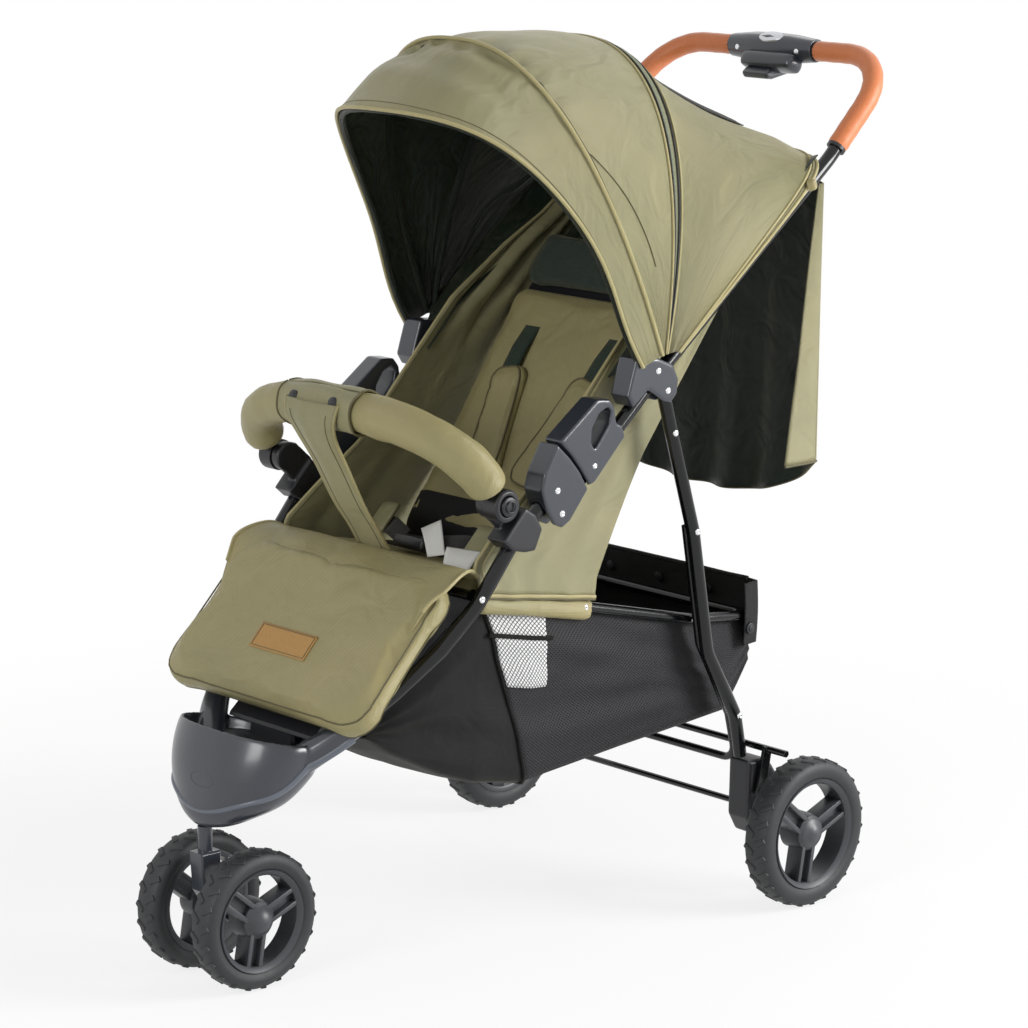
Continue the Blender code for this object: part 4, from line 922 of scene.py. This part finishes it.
def roof_flap(u, v):
    """Black flap of the roof window, turned back over the far side of the crown."""
    base = rear_spot(0.42 + 0.16 * v, 0.16 + 0.50 * u, 0.002)
    lift = (0.012 + 0.010 * u) * math.sin(math.pi * min(1, u * 1.02)) ** 0.4 * v ** 0.5
    return base + Vector((-0.2, 0, 1)) * lift


black_taffeta = woven("taffeta_black", "141517", "0E0F11", 0.4, "UV", 0.15, crease=0.003)
window_flap = spread("hood_window_flap", roof_flap, 40, 16, black_taffeta,
                     hood_inside, 0.0016)
with_rear(window_flap)


# Drape: the back curtain that hangs from the hood's rear hem behind the seat
# The same olive cloth, lined dark; its sides turn forward as short gussets.
drape_half, drape_y, gusset_share = 0.190, 0.3655, 0.10


def drape_spot(u, v):
    """The gusset's share of the width turns forward at each side; the rest hangs in five folds."""
    gusset = 0.010 + 0.050 * v
    lap = min(u, 1 - u)
    side = 1 if u < 0.5 else -1
    if lap < gusset_share:
        t = lap / gusset_share
        x, y = drape_half + 0.0015 * math.sin(math.pi * t), drape_y - gusset * (1 - t) ** 1.15
        x, fold_x = x * side, drape_half
    else:
        x = fold_x = drape_half * side * (1 - (lap - gusset_share) / (0.5 - gusset_share))
        y = drape_y
    outward = abs(fold_x) / drape_half
    hem = 0.530 - 0.056 * (1 - outward ** 3)
    top = 0.902 - 0.028 * max(0.0, outward - 0.6) / 0.4
    belly = (1 - (x / drape_half) ** 2) if abs(x) < drape_half else 0.0
    y += 0.006 * v * math.cos(5 * math.pi * fold_x / drape_half) * (1 if lap >= gusset_share else 0.2)
    y += 0.018 * math.sin(math.pi * v) * belly + 0.004 * v + crumple(u, v, 5, 0.004, 2.0) * v
    return Vector((x, y, top + (hem - top) * v))


drape = spread("hood_drape", drape_spot, 120, 50, (olive, lining),
               (0, 0.20, 0.72), 0.0016)
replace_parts(drape, "canopy_drape")
drape_hem = tube("hood_drape_hem", [drape_spot(u, 1.0) for u in shares(120)], 0.0018, painted_shade_piping,
                 10)


def behind_back(piece):
    """Cloth hung from the frame behind the backrest; it rides on the upper frame, with a mesh of its
    own.
    """
    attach(piece, "upper_frame")
    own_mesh(piece)


behind_back(drape)
behind_back(drape_hem)


# Seat: cover with side wings, boxed lower edge and a padded base
# Olive polyester over foam, sewn to the rail; the wings tie up to the handle tubes.
def along_line(points, t):
    """Point at the share t of a line's length."""
    pts = [Vector(p) for p in points]
    target = path_length(pts) * min(max(t, 0.0), 1.0)
    for a, b in zip(pts, pts[1:]):
        step = (b - a).length
        if target <= step:
            return a.lerp(b, target / step)
        target -= step
    return pts[-1]


wing_front = [(0, -0.1820, 0.4430), (0, -0.1900, 0.4780), (0, -0.1589, 0.5046),
              (0, -0.1255, 0.5309), (0, -0.0774, 0.5655), (0, -0.0402, 0.6100),
              (0, -0.0157, 0.6363), (0, 0.0204, 0.6746), (0, 0.0685, 0.7246),
              (0, 0.1088, 0.7508), (0, 0.1598, 0.7840), (0, 0.2220, 0.8167),
              (0, 0.3000, 0.8720), (0, 0.3450, 0.9050)]
wing_rear = [(0, 0.0000, 0.4130), (0, 0.0060, 0.4350), (0, 0.0980, 0.5740), (0, 0.2500, 0.7690),
             (0, 0.3220, 0.8330), (0, 0.3680, 0.8850)]


def wing_spot(side, u, v, out=0.0):
    spot = along_line(wing_front, v).lerp(along_line(wing_rear, v), u)
    low = max(0.0, 1 - v / 0.30)
    wide = 0.1545 + 0.0170 * low ** 1.5 + 0.004 * math.sin(math.pi * u) * math.sin(math.pi * v)
    loose = min(1.0, max(0.0, (v - 0.42) / 0.18))
    fold = 0.024 * loose * (abs(math.sin(3.0 * math.pi * u + 2.6 * v + 0.4)) - 0.35)
    wide += (crumple(u, v, 6, 0.004, side * 4.0) - fold) * math.sin(math.pi * u) ** 0.6 + out
    return Vector((side * wide, spot.y, spot.z))


def with_fold(piece):
    """Seat cloth rides on the seat rail, with a mesh of its own."""
    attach(piece, "seat_rail")
    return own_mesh(piece)


for name, side in both_sides:
    wing = spread(f"seat_wing_{name}", lambda u, v: wing_spot(side, u, v), 36, 80, olive,
                  (0, 0.02, 0.60), 0.0030)
    if side > 0:
        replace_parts(wing, "seat_cover")
    with_fold(wing)
    for label, u, out, thick, made in (("edge", 0.0, -0.0010, 0.0022, painted_highlight_piping),
                                       ("shadow", 0.03, -0.0020, 0.0012, painted_shade_piping),
                                       ("double", 0.055, -0.0010, 0.0020, painted_highlight_piping)):
        path = [wing_spot(side, u, 0.03 + 0.97 * t, out) for t in shares(70)]
        with_fold(tube(f"seat_wing_piping_{label}_{name}", path, thick, made, 10))
    lower = [wing_spot(side, u, 0.0, 0.0005) for u in shares(30)]
    with_fold(tube(f"seat_lower_piping_{name}", lower, 0.0023, painted_highlight_piping, 10))
    with_fold(tube(f"seat_lower_shadow_{name}", [p + Vector((0, 0, -0.0035)) for p in lower], 0.0013,
                   painted_shade_piping, 10))


def stuffed(name, centre, along, across, size, corner, material, voxel=0.005, cap=0.008):
    """A stuffed pad: an eased block, remeshed, then blown up by cloth simulation within cap."""
    u, v = Vector(along).normalized(), Vector(across).normalized()
    n = v.cross(u).normalized()
    bm = bmesh.new()
    bmesh.ops.create_cube(bm, size=1)
    bmesh.ops.scale(bm, vec=(size[1] - cap, size[0] - cap, size[2]), verts=bm.verts)
    upright = [e for e in bm.edges if abs(e.verts[0].co.z - e.verts[1].co.z) > 1e-6]
    bmesh.ops.bevel(bm, geom=upright, offset=corner, segments=6, profile=0.5, affect="EDGES",
                    material=-1)
    rims = [e for e in bm.edges if abs(e.verts[0].co.z - e.verts[1].co.z) < 1e-6
            and len(e.link_faces) == 2 and e.calc_face_angle() > 1.0]
    bmesh.ops.bevel(bm, geom=rims, offset=size[2] * 0.33, segments=3, profile=0.5, affect="EDGES",
                    material=-1)
    bmesh.ops.triangulate(bm, faces=bm.faces)
    matrix = Matrix((v, u, n)).transposed().to_4x4()
    bmesh.ops.transform(bm, matrix=Matrix.Translation(centre) @ matrix, verts=bm.verts)
    piece = from_bmesh(name, bm, material)
    even_mesh = piece.modifiers.new("even_mesh", "REMESH")
    even_mesh.mode, even_mesh.voxel_size = "VOXEL", voxel
    settled(piece)
    filling = piece.modifiers.new("filling", "CLOTH")
    filling.settings.use_pressure = True
    filling.settings.uniform_pressure_force = 4.0
    filling.settings.effector_weights.gravity = 0
    for step in range(1, 21):
        bpy.context.scene.frame_set(step)
    graph = bpy.context.evaluated_depsgraph_get()
    moved = [vert.co.copy() for vert in piece.evaluated_get(graph).data.vertices]
    piece.modifiers.clear()
    bpy.context.scene.frame_set(1)
    for vert, target in zip(piece.data.vertices, moved):
        step = target - vert.co
        vert.co += step if step.length < cap else step.normalized() * cap
    finer = piece.modifiers.new("finer", "SUBSURF")
    finer.levels = finer.render_levels = 1
    settled(piece)
    return piece


# Lining between the hood's hem and the wings, and behind the child's head
for name, side in both_sides:
    def gusset_spot(u, v):
        hem = Vector((side * 0.2030, 0.075, 0.706)).lerp(Vector((side * 0.2050, 0.336, 0.911)), u)
        edge = along_line(wing_front[7:], u)
        spot = hem.lerp(Vector((side * 0.1500, edge.y + 0.006, edge.z - 0.012)), v)
        return spot + Vector((side * crumple(u, v, 7, 0.010, 2.0) * math.sin(math.pi * v), 0, 0))
    gusset = spread(f"hood_gusset_{name}", gusset_spot, 40, 16, lining,
                    (0, 0.12, 0.74), 0.0014)
    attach(gusset, "upper_frame")


def curtain_spot(u, v):
    """Lining from the top of the backrest up to the hood's rear hem."""
    low, high = Vector((0.172, 0.2400, 0.7700)), Vector((0.190, 0.3480, 0.8990))
    spot = low.lerp(high, v)
    return Vector((spot.x * (1 - 2 * u), spot.y + 0.004 * math.sin(math.pi * v)
                   + crumple(u, v, 6, 0.008, 11.0) * math.sin(math.pi * v), spot.z))


curtain = spread("hood_head_curtain", curtain_spot, 40, 30, lining,
                 (0, 0.5, 0.70), 0.0014)
behind_back(curtain)

seat_along = Vector((0, 0.9792, -0.2030))
base_pad = stuffed("seat_base_pad", (0, -0.100, 0.4340), seat_along, (1, 0, 0),
                   (0.168, 0.306, 0.016), 0.020, olive_stuffed, 0.006, 0.006)
with_fold(base_pad)
for name, side in both_sides:
    boxing = stuffed(f"seat_boxing_{name}", (side * 0.1605, -0.0890, 0.4140), seat_along,
                     (side, 0, 0), (0.188, 0.023, 0.027), 0.008, olive_stuffed,
                     0.004, 0.003)
    with_fold(boxing)


# Backrest: reclining padded back with shoulder pads, webbing and a net window above
# Foam pad in the olive cloth; two padded sleeves slide on dark green webbing.
recline = Vector((0, -0.0200, 0.4260))
back_angle = math.radians(55)
back_up = Vector((0, math.cos(back_angle), math.sin(back_angle)))
back_out = Vector((0, -math.sin(back_angle), math.cos(back_angle)))


def on_back(x, up, out):
    return recline + back_up * up + back_out * out + Vector((x, 0, 0))


back_pad = stuffed("backrest_padding", on_back(0, 0.187, 0.0125), back_up, (-1, 0, 0),
                   (0.358, 0.290, 0.020), 0.020, olive_stuffed, 0.006, 0.006)
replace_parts(back_pad, "backrest_pad")
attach(back_pad, "backrest")
# Spacer net over dark lining: an open weave of about 2 mm
head_net = woven("polyester_spacer_net_dark_green", "1F302B", "172520", 0.6, "Object", 0.25,
                 0.0004, 0.0018, 0.003)
head_pad = stuffed("backrest_head_net", on_back(0, 0.403, 0.0115), back_up, (-1, 0, 0),
                   (0.078, 0.286, 0.016), 0.020, head_net, 0.005, 0.004)
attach(head_pad, "backrest")

# Polypropylene webbing: dark green, ribbed across every 2 mm
webbing = woven("polypropylene_webbing_dark_green", "1D3226", "13241B", 0.6, "UV", 0.1, 0.0005,
                0.0022, 0)
black_webbing = woven("polypropylene_webbing_black", "17181B", "101114", 0.6, "UV", 0.1, 0.0005,
                      0.0022, 0)


def strap(name, line, width, material, body, thick=0.0016, side_way=(1, 0, 0)):
    """Flat webbing along a line; side_way is the direction of its width."""
    steps = 40
    pts = even(rounded(line, 0.03, 6), steps + 1)
    way = Vector(side_way).normalized()
    middle_point = sum(pts, Vector()) / len(pts)

    def spot(u, v):
        centre = pts[min(steps, round(v * steps))]
        return centre + way * (u - 0.5) * width
    normal = (pts[-1] - pts[0]).cross(way).normalized()
    piece = spread(name, spot, 4, steps, material, middle_point - normal * 0.5, thick)
    if body:
        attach(piece, body)
    return piece


for name, side in both_sides:
    lean = Vector((0.225 * side, 0, 0)) + back_up * 0.974
    pad = stuffed(f"shoulder_sleeve_{name}", on_back(0.052 * side, 0.168, 0.0330), lean,
                  lean.cross(back_out), (0.160, 0.058, 0.012), 0.018, olive_stuffed,
                  0.003, 0.003)
    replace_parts(pad, f"shoulder_pad_{name}")
    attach(pad, "backrest")
    wide = lean.cross(back_out)
    rim = [on_back(0.052 * side, 0.168, 0.040) + wide * 0.0255 * squared(math.cos(a), 0.5)
           + lean * 0.0755 * squared(math.sin(a), 0.5)
           for a in [math.tau * t for t in shares(60)[:-1]]]
    edge = tube(f"shoulder_piping_{name}", laid_on(pad, rim, 0.0002), 0.0016, painted_shade_piping,
                10, closed=True)
    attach(edge, "backrest")
    strap(f"shoulder_webbing_{name}",
          [on_back(0.069 * side, 0.235, 0.0360), on_back(0.071 * side, 0.270, 0.0340),
           on_back(0.073 * side, 0.310, 0.0255)], 0.025, webbing, "backrest")


# Waist harness: buckle, black webbing and two bare care tags on the seat
# Webbing sewn under the seat pad; the tags are white satin tape, left blank.
# Satin ribbon: white
tag_white = woven("satin_ribbon_white", "ECECE8", "E2E2DD", 0.45, "UV", 0.2, 0.0001, 0.0009, 0.0006)
refined("buckle", black_nylon, 0.0030)
for name, side in both_sides:
    with_fold(strap(f"waist_webbing_{name}",
                    [(side * 0.020, -0.128, 0.4705), (side * 0.060, -0.112, 0.4760),
                     (side * 0.110, -0.085, 0.4680), (side * 0.142, -0.060, 0.4560)], 0.025,
                    black_webbing, None, side_way=(0, 0.8, 0.6)))
    with_fold(strap(f"waist_sleeve_{name}",
                    [(side * 0.070, -0.106, 0.4800), (side * 0.105, -0.090, 0.4740),
                     (side * 0.138, -0.070, 0.4640)], 0.046, olive, None,
                    0.005, (0, 0.7, 0.7)))
tags = {"upper": [(0.0092, -0.1289, 0.4869), (0.0224, -0.1089, 0.4966),
                  (0.0440, -0.1501, 0.4615), (0.0605, -0.1372, 0.4652)],
        "lower": [(0.0691, -0.1424, 0.4770), (0.1132, -0.1251, 0.4757),
                  (0.0889, -0.1675, 0.4590), (0.1215, -0.1598, 0.4554)]}
for name, corners in tags.items():
    def tag_spot(u, v):
        first, second, third, fourth = (Vector(corner) for corner in corners)
        curl = 0.003 * math.sin(math.pi * v)
        return first.lerp(second, u).lerp(third.lerp(fourth, u), v) + Vector((0, 0, curl))
    with_fold(spread(f"care_tag_{name}", tag_spot, 8, 12, tag_white, (0, 0, 0.3),
                     0.0006))

# Black cloth in the crease between the seat pad and the backrest, sewn down on both
black_cloth = woven("polyester_woven_black", "131316", "0C0C0E", 0.6, "UV", 0.05, 0.0002, 0.0013,
                    0.0030, 1.32)


def crease_spot(u, v):
    x = 0.136 * (1 - 2 * u)
    seat = laid_on(base_pad, [(x, -0.100, 0.4600), (x, -0.045, 0.4500)], 0.0012)
    back = laid_on(back_pad, [on_back(x, 0.024, 0.030), on_back(x, 0.066, 0.032)], 0.0012)
    rows = [*seat, Vector((x, -0.0260, 0.4350)), *back]
    return Vector(between([tuple(row) for row in rows], v))


crease = spread("seat_crease_cloth", crease_spot, 30, 24, black_cloth,
                (0, 0.05, 0.38), 0.0010)
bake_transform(crease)


# Bumper bar: padded sleeve over the bar, with a wrap and a crotch strap
# Foam tube in olive cloth, seamed below; the wrap is closed with two snaps.
bumper_pivot = Vector((0, -0.178, 0.552))
bumper_way = Vector((0, math.cos(math.radians(125.6)), math.sin(math.radians(125.6))))


bumper_half, bumper_near, bumper_far, bumper_power = 0.1958, 0.0142, 0.1122, 2 / 2.48


def bumper_line(count, trim):
    """The bar's middle line, half of a squared oval, with trim cut off each end."""
    pts = []
    for t in shares(80):
        turn = 0.006 + (math.pi - 0.012) * t
        reach = bumper_near + (bumper_far - bumper_near) * math.sin(turn) ** bumper_power
        pts.append(bumper_pivot + bumper_way * reach
                   + Vector((squared(math.cos(turn), bumper_power) * bumper_half, 0, 0)))
    total = path_length(pts)
    return even(stretch(pts, trim, total - trim), count)


pad_line = bumper_line(140, 0.010)
pad_radius = []
for i in range(140):
    end = min(i, 139 - i) / 139 * path_length(pad_line)
    pad_radius.append(0.0245 * min(1.0, 0.80 + 0.20 * math.sqrt(min(1.0, end / 0.012)))
                      + noise.noise(Vector((i * 0.13, 0, 4))) * 0.0009)
bumper_pad = tube("bumper_sleeve", pad_line, pad_radius, olive_stuffed, 32)
dents = bumper_pad.data
for vert in dents.vertices:
    push = noise.noise(vert.co * 22) * 0.0016 + noise.noise(vert.co * 60) * 0.0005
    vert.co += vert.normal * push
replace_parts(bumper_pad, "bumper_pad")
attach(bumper_pad, "bumper")
seam_way = Vector((0, 0.25, -0.97))
sewn = tube("bumper_sleeve_seam", [p + seam_way * 0.0242 for p in pad_line[3:-3]], 0.0012, painted_shade_piping,
            8)
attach(sewn, "bumper")

wrap_line = even(stretch(pad_line, path_length(pad_line) * 0.5 - 0.042,
                         path_length(pad_line) * 0.5 + 0.086), 30)


def wrap_spot(u, v):
    """Band round the sleeve; u runs round it, v along the bar."""
    k = min(28, int(v * 29))
    centre = wrap_line[k].lerp(wrap_line[k + 1], v * 29 - k)
    way = (wrap_line[k + 1] - wrap_line[k]).normalized()
    side = way.cross(Vector((0, 0, 1))).normalized()
    over = side.cross(way).normalized()
    a = math.tau * u * 0.985 + 1.9
    r = 0.0268 + 0.0006 * math.sin(5 * a + 9 * v) + crumple(u, v, 8, 0.0008, 6.0)
    return centre + (side * math.cos(a) + over * math.sin(a)) * r


wrap = spread("bumper_wrap", wrap_spot, 56, 40, olive, (-0.02, -0.2433, 0.6432),
              0.0016)
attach(wrap, "bumper")
for label, v in (("left", 0.0), ("right", 1.0)):
    edge = tube(f"bumper_wrap_edge_{label}", [wrap_spot(u, v) for u in shares(60)], 0.0014,
                painted_shade_piping, 10)
    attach(edge, "bumper")

strap_rows = [(-0.022, -0.2700, 0.6520, 0.0460), (-0.022, -0.2740, 0.6330, 0.0420),
              (-0.020, -0.2650, 0.6080, 0.0330), (-0.016, -0.2470, 0.5740, 0.0285),
              (-0.008, -0.2270, 0.5280, 0.0270), (-0.003, -0.2090, 0.4980, 0.0260),
              (0.000, -0.1960, 0.4740, 0.0260)]


def crotch_spot(u, v, out=0.0):
    x, y, z, half = between(strap_rows, v)
    roll = 0.004 * (1 - (2 * u - 1) ** 2)
    return Vector((x + (1 - 2 * u) * half, y - roll - out, z - 0.2 * out)) + Vector(
        (0, crumple(u, v, 4, 0.003, 1.0), 0))


crotch = spread("crotch_strap_sewn", crotch_spot, 20, 60, olive,
                (0, -0.12, 0.60), 0.0034)
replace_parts(crotch, "crotch_strap")
crotch_parts = [crotch]
for label, u in (("left", 0.0), ("right", 1.0)):
    line = [crotch_spot(u, v, -0.0016) for v in shares(60)]
    crotch_parts.append(tube(f"crotch_edge_{label}", line, 0.0021, olive_stuffed, 10))
for label, u in (("left", 0.13), ("right", 0.87)):
    line = [crotch_spot(u, 0.12 + 0.88 * v, 0.0) for v in shares(60)]
    crotch_parts.append(tube(f"crotch_stitch_{label}", line, 0.0006, painted_shade_piping, 8))
for piece in crotch_parts:
    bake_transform(piece)
for label, x in (("left", 0.012), ("right", -0.058)):
    spot = laid_on(wrap, [(x, -0.2740, 0.6560)], 0.0006)[0]
    for number, (radius, height) in enumerate(((0.0068, 0.0010), (0.0042, 0.0020))):
        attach(disc(f"wrap_snap_{label}_{number}", spot, (0, -0.92, 0.39), radius, height,
                     black_nylon), "bumper")


# Leg rest: a boxed cushion on a hinged board, with a blank leather patch
# Foam in olive cloth, piped round the face; a tail of the same cloth reaches the seat.
hinge = Vector((0, -0.2024, 0.4472))
leg_down = Vector((0, -0.680, -0.733))
leg_out = Vector((0, -0.733, 0.680))
calf = stuffed("leg_rest_padding", hinge + leg_down * 0.110 + leg_out * 0.0285, leg_down,
               (-1, 0, 0), (0.224, 0.376, 0.028), 0.040, olive_stuffed, 0.005,
               0.008)
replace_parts(calf, "leg_rest_cushion")
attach(calf, "leg_rest")


def on_leg(x, down, out):
    return hinge + leg_down * down + leg_out * out + Vector((x, 0, 0))


def leg_loop(out, inset, whole, count=120):
    """The cushion's outline; all of it, or the sides and lower edge alone."""
    points = []
    for i in range(count):
        a = math.tau * i / count if whole else -0.62 + (math.pi + 1.24) * i / (count - 1)
        points.append(on_leg(squared(math.cos(a), 0.27) * (0.187 - inset),
                             0.110 + squared(math.sin(a), 0.27) * (0.111 - inset), out))
    return points


for label, out, inset, whole in (("face", 0.0440, 0.007, False), ("back", 0.0160, 0.004, True)):
    rim = tube(f"leg_rest_piping_{label}", laid_on(calf, leg_loop(out, inset, whole), 0.0001),
               0.0011, painted_shade_piping, 10, closed=whole)
    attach(rim, "leg_rest")

# Vegetable-tanned leather: light tan, smooth, darker at its edge
tan_leather = grained("vegetable_tanned_leather_tan", "A87F42", 0.5, 420, ("9C7338", "B58C4F"),
                      (0.42, 0.58), 0.0002)


def patch_spot(u, v):
    return on_leg((0.5 - u) * 0.097, 0.119 + 0.033 * v, 0.060)


bm = bmesh.new()
bmesh.ops.create_grid(bm, x_segments=24, y_segments=8, size=0.5)
for vert in bm.verts:
    vert.co = laid_on(calf, [patch_spot(vert.co.x + 0.5, vert.co.y + 0.5)], 0.0014)[0]
bm.normal_update()
if sum(f.normal.dot(leg_out) for f in bm.faces) < 0:
    bmesh.ops.reverse_faces(bm, faces=bm.faces)
patch = from_bmesh("leg_rest_patch", bm, tan_leather, normals=False)
thickness = patch.modifiers.new("leather_thickness", "SOLIDIFY")
thickness.thickness, thickness.offset = 0.0014, -1
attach(patch, "leg_rest")
stitches = [patch_spot(0.03 + 0.94 * min(max(a, 0), 1), 0.07 + 0.86 * min(max(b, 0), 1))
            for a, b in [(t, 0) for t in shares(30)] + [(1, t) for t in shares(12)]
            + [(1 - t, 1) for t in shares(30)] + [(0, 1 - t) for t in shares(12)]]
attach(tube("leg_rest_patch_stitch", laid_on(calf, stitches, 0.0015), 0.0005, painted_shade_piping, 8,
             closed=True), "leg_rest")


def tail_spot(u, v):
    """Cloth from the seat's front edge over the hinge bar to the cushion."""
    wide = 0.184 - 0.020 * max(0.0, v - 0.6) / 0.4
    x = wide * (1 - 2 * u)
    rows = [(x * 0.88, -0.172, 0.4570), (x * 0.95, -0.2040, 0.4760), on_leg(x, 0.012, 0.0420),
            on_leg(x, 0.046, 0.0485), on_leg(x, 0.090, 0.0400)]
    spot = Vector(between([tuple(row) for row in rows], v))
    return spot + leg_out * crumple(u, v, 6, 0.004, 4.0) * math.sin(math.pi * v)


tail = [spread("leg_rest_tail", tail_spot, 60, 30, olive_stuffed, (0, -0.20, 0.40),
               0.0024)]
for name, u in (("left", 0.0), ("right", 1.0)):
    tail.append(tube(f"leg_rest_tail_piping_{name}", [tail_spot(u, v) for v in shares(30)[:25]],
                     0.0022, painted_highlight_piping, 10))
for piece in tail:
    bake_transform(piece)


# Basket: black shopping basket hung on the rail
# Plain black cloth in front, net at the sides, bound along the top; the rear flap snaps shut.


def net(name, cord, ground, pitch, share):
    """Net: round cords on the diagonal with the cloth behind showing between them."""
    made, tree, shader = finish_of(name, cord, 0.6, IOR=1.36)
    spot = add_node(tree, "ShaderNodeTexCoord").outputs["UV"]
    turned = add_node(tree, "ShaderNodeMapping", {"Vector": spot, "Rotation": (0, 0, math.pi / 4)})
    scale = math.tau / (20 * pitch)
    lines = [add_node(tree, "ShaderNodeTexWave", {"Vector": turned.outputs[0], "Scale": scale},
                      bands_direction=way) for way in ("X", "Y")]
    cords = add_node(tree, "ShaderNodeMath", {0: lines[0].outputs["Fac"],
                                              1: lines[1].outputs["Fac"]}, operation="MAXIMUM")
    cut = add_node(tree, "ShaderNodeMapRange", {"Value": cords.outputs[0], "From Min": share - 0.08,
                                                "From Max": share + 0.08})
    tint = add_node(tree, "ShaderNodeMix", {"Factor": cut.outputs["Result"], 6: srgb(ground),
                                            7: srgb(cord)}, data_type="RGBA")
    tree.links.new(tint.outputs[2], shader.inputs["Base Color"])
    relief = add_node(tree, "ShaderNodeBump", {"Height": cords.outputs[0], "Distance": 0.0006})
    tree.links.new(relief.outputs["Normal"], shader.inputs["Normal"])
    return made


side_net = net("polyester_net_black", "252528", "040405", 0.0038, 0.70)
window_net = net("polyester_net_over_white_cloth", "26272A", "E4E4E4", 0.0042, 0.86)

basket_rows = [(-0.3080, 0.112, 0.2860, 0.2980), (-0.2700, 0.126, 0.2600, 0.3420),
               (-0.2100, 0.142, 0.2290, 0.4000), (-0.1700, 0.152, 0.2130, 0.4340),
               (-0.0950, 0.1575, 0.1990, 0.4180), (0.0700, 0.1580, 0.2120, 0.3790),
               (0.1732, 0.1580, 0.2190, 0.3540), (0.2460, 0.1580, 0.2240, 0.3455),
               (0.2640, 0.1570, 0.2480, 0.3435), (0.2840, 0.1560, 0.2780, 0.3420)]


def basket_section(y):
    for a, b in zip(basket_rows, basket_rows[1:]):
        if y <= b[0]:
            t = (y - a[0]) / (b[0] - a[0])
            return [p + (q - p) * t for p, q in zip(a[1:], b[1:])]
    return list(basket_rows[-1][1:])


def seam_y(lap):
    """The seam that slants back from the rail to the floor, between cloth and net."""
    return -0.167 + 0.072 * min(lap, 1.0)


basket_front, basket_rear = -0.3080, 0.2840
wall_share = 0.35


def basket_spot(u, v, start, end, out=0.0):
    """u runs down the left wall, across the floor and up the right wall; v to the rear."""
    lap = min(u, 1 - u) / wall_share
    start, end = (edge if isinstance(edge, float) else edge(lap) for edge in (start, end))
    y = start + (end - start) * v
    half, low, high = basket_section(y)
    side = 1 if u < 0.5 else -1
    if lap < 1:
        corner = max(0.0, (lap - 0.90) / 0.10)
        bulge = math.sin(math.pi * lap)
        x = half + 0.004 * bulge + crumple(lap, 3.4 * y, 6, 0.007, 3.0 + side) * bulge + out
        return Vector((side * (x - 0.008 * corner ** 2), y, high - (high - low) * lap))
    share = (u - wall_share) / (1 - 2 * wall_share)
    sag = math.sin(math.pi * share)
    return Vector(((half - 0.008) * (1 - 2 * share), y,
                   low - 0.007 * sag + crumple(share, 3.4 * y, 5, 0.004, 7.0) * sag))


def with_rail(piece):
    """The basket rides on the seat rail, with a mesh of its own."""
    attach(piece, "seat_rail")
    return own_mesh(piece)


for label, start, end, made, heart in (("front", basket_front, seam_y, black_cloth, -0.21),
                                       ("rear", seam_y, basket_rear, side_net, 0.09)):
    part = spread(f"basket_{label}", lambda u, v: basket_spot(u, v, start, end), 90, 40, made,
                  (0, heart, 0.33), 0.0016)
    if label == "front":
        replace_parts(part, "basket")
    with_rail(part)
for name, flip in (("left", 0), ("right", 1)):
    top = [basket_spot(flip, v, basket_front, basket_rear, 0.001) for v in shares(60)]
    with_rail(tube(f"basket_binding_{name}", top, 0.0028, black_cloth, 10))
lip = [Vector((x * 0.1120, -0.3085, 0.2920)) for x in (1, 0.5, 0, -0.5, -1)]
with_rail(tube("basket_front_lip", lip, 0.0045, black_cloth, 10))
seam = [basket_spot(u, 0.0, seam_y, basket_rear, 0.0015) for u in shares(120)]
with_rail(tube("basket_seam", seam, 0.0018, black_cloth, 10))


def flap_spot(u, v):
    """Rear wall and flap, from the floor's rear edge up over the rail."""
    x = 0.152 * (1 - 2 * u)
    y = 0.2870 + 0.004 * math.sin(math.pi * v) + crumple(u, v, 5, 0.003, 8.0)
    return Vector((x, y - 0.010 * (1 - v) ** 2, 0.2860 + 0.1010 * v))


flap = spread("basket_rear_flap", flap_spot, 60, 24, black_cloth,
              (0, 0.2, 0.33), 0.0020)
with_rail(flap)
with_rail(tube("basket_flap_binding", [flap_spot(u, 1.0) for u in shares(60)], 0.0030,
               black_cloth, 10))


# White-backed net window in the near wall, crossed by a black tape, in both side walls
def window_spot(side, u, v):
    lap = 0.03 + 0.43 * v
    y = seam_y(lap) + 0.003
    y += (-0.070 - y) * u
    return basket_spot(lap * wall_share if side > 0 else 1 - lap * wall_share, 0.0, y, y, 0.0026)


for name, side in both_sides:
    with_rail(spread(f"basket_window_{name}", lambda u, v: window_spot(side, u, v), 16, 20,
                     window_net, (0, -0.05, 0.33), 0.0010))
    tape_line = [window_spot(side, -0.1 + 1.2 * t, 0.36) for t in shares(12)]
    with_rail(tube(f"basket_window_tape_{name}", tape_line, 0.0030, black_cloth, 8))

    def lap_spot(u, v):
        """The flap's end, lapped forward round the rail's corner and snapped down."""
        line = [(0.150, 0.2905, 0), (0.1685, 0.2880, 0), (0.1720, 0.2600, 0)]
        spot = along_line(line, u)
        return Vector((side * (spot.x + 0.002 * math.sin(math.pi * v)), spot.y,
                       0.3870 - 0.0780 * v))
    with_rail(spread(f"basket_flap_end_{name}", lap_spot, 16, 16, black_cloth,
                     (0, 0.2, 0.33), 0.0018))
    for number, (radius, height) in enumerate(((0.0072, 0.0012), (0.0042, 0.0022))):
        with_rail(disc(f"basket_snap_{name}_{number}", (side * 0.1745, 0.2690, 0.3300),
                       (side, 0, 0), radius, height, black_nylon))
for number, x in enumerate((-0.085, 0.0, 0.085)):
    with_rail(disc(f"basket_flap_snap_{number}", (x, 0.2860, 0.3620), (0, -1, 0), 0.0065, 0.0016,
                   black_nylon))
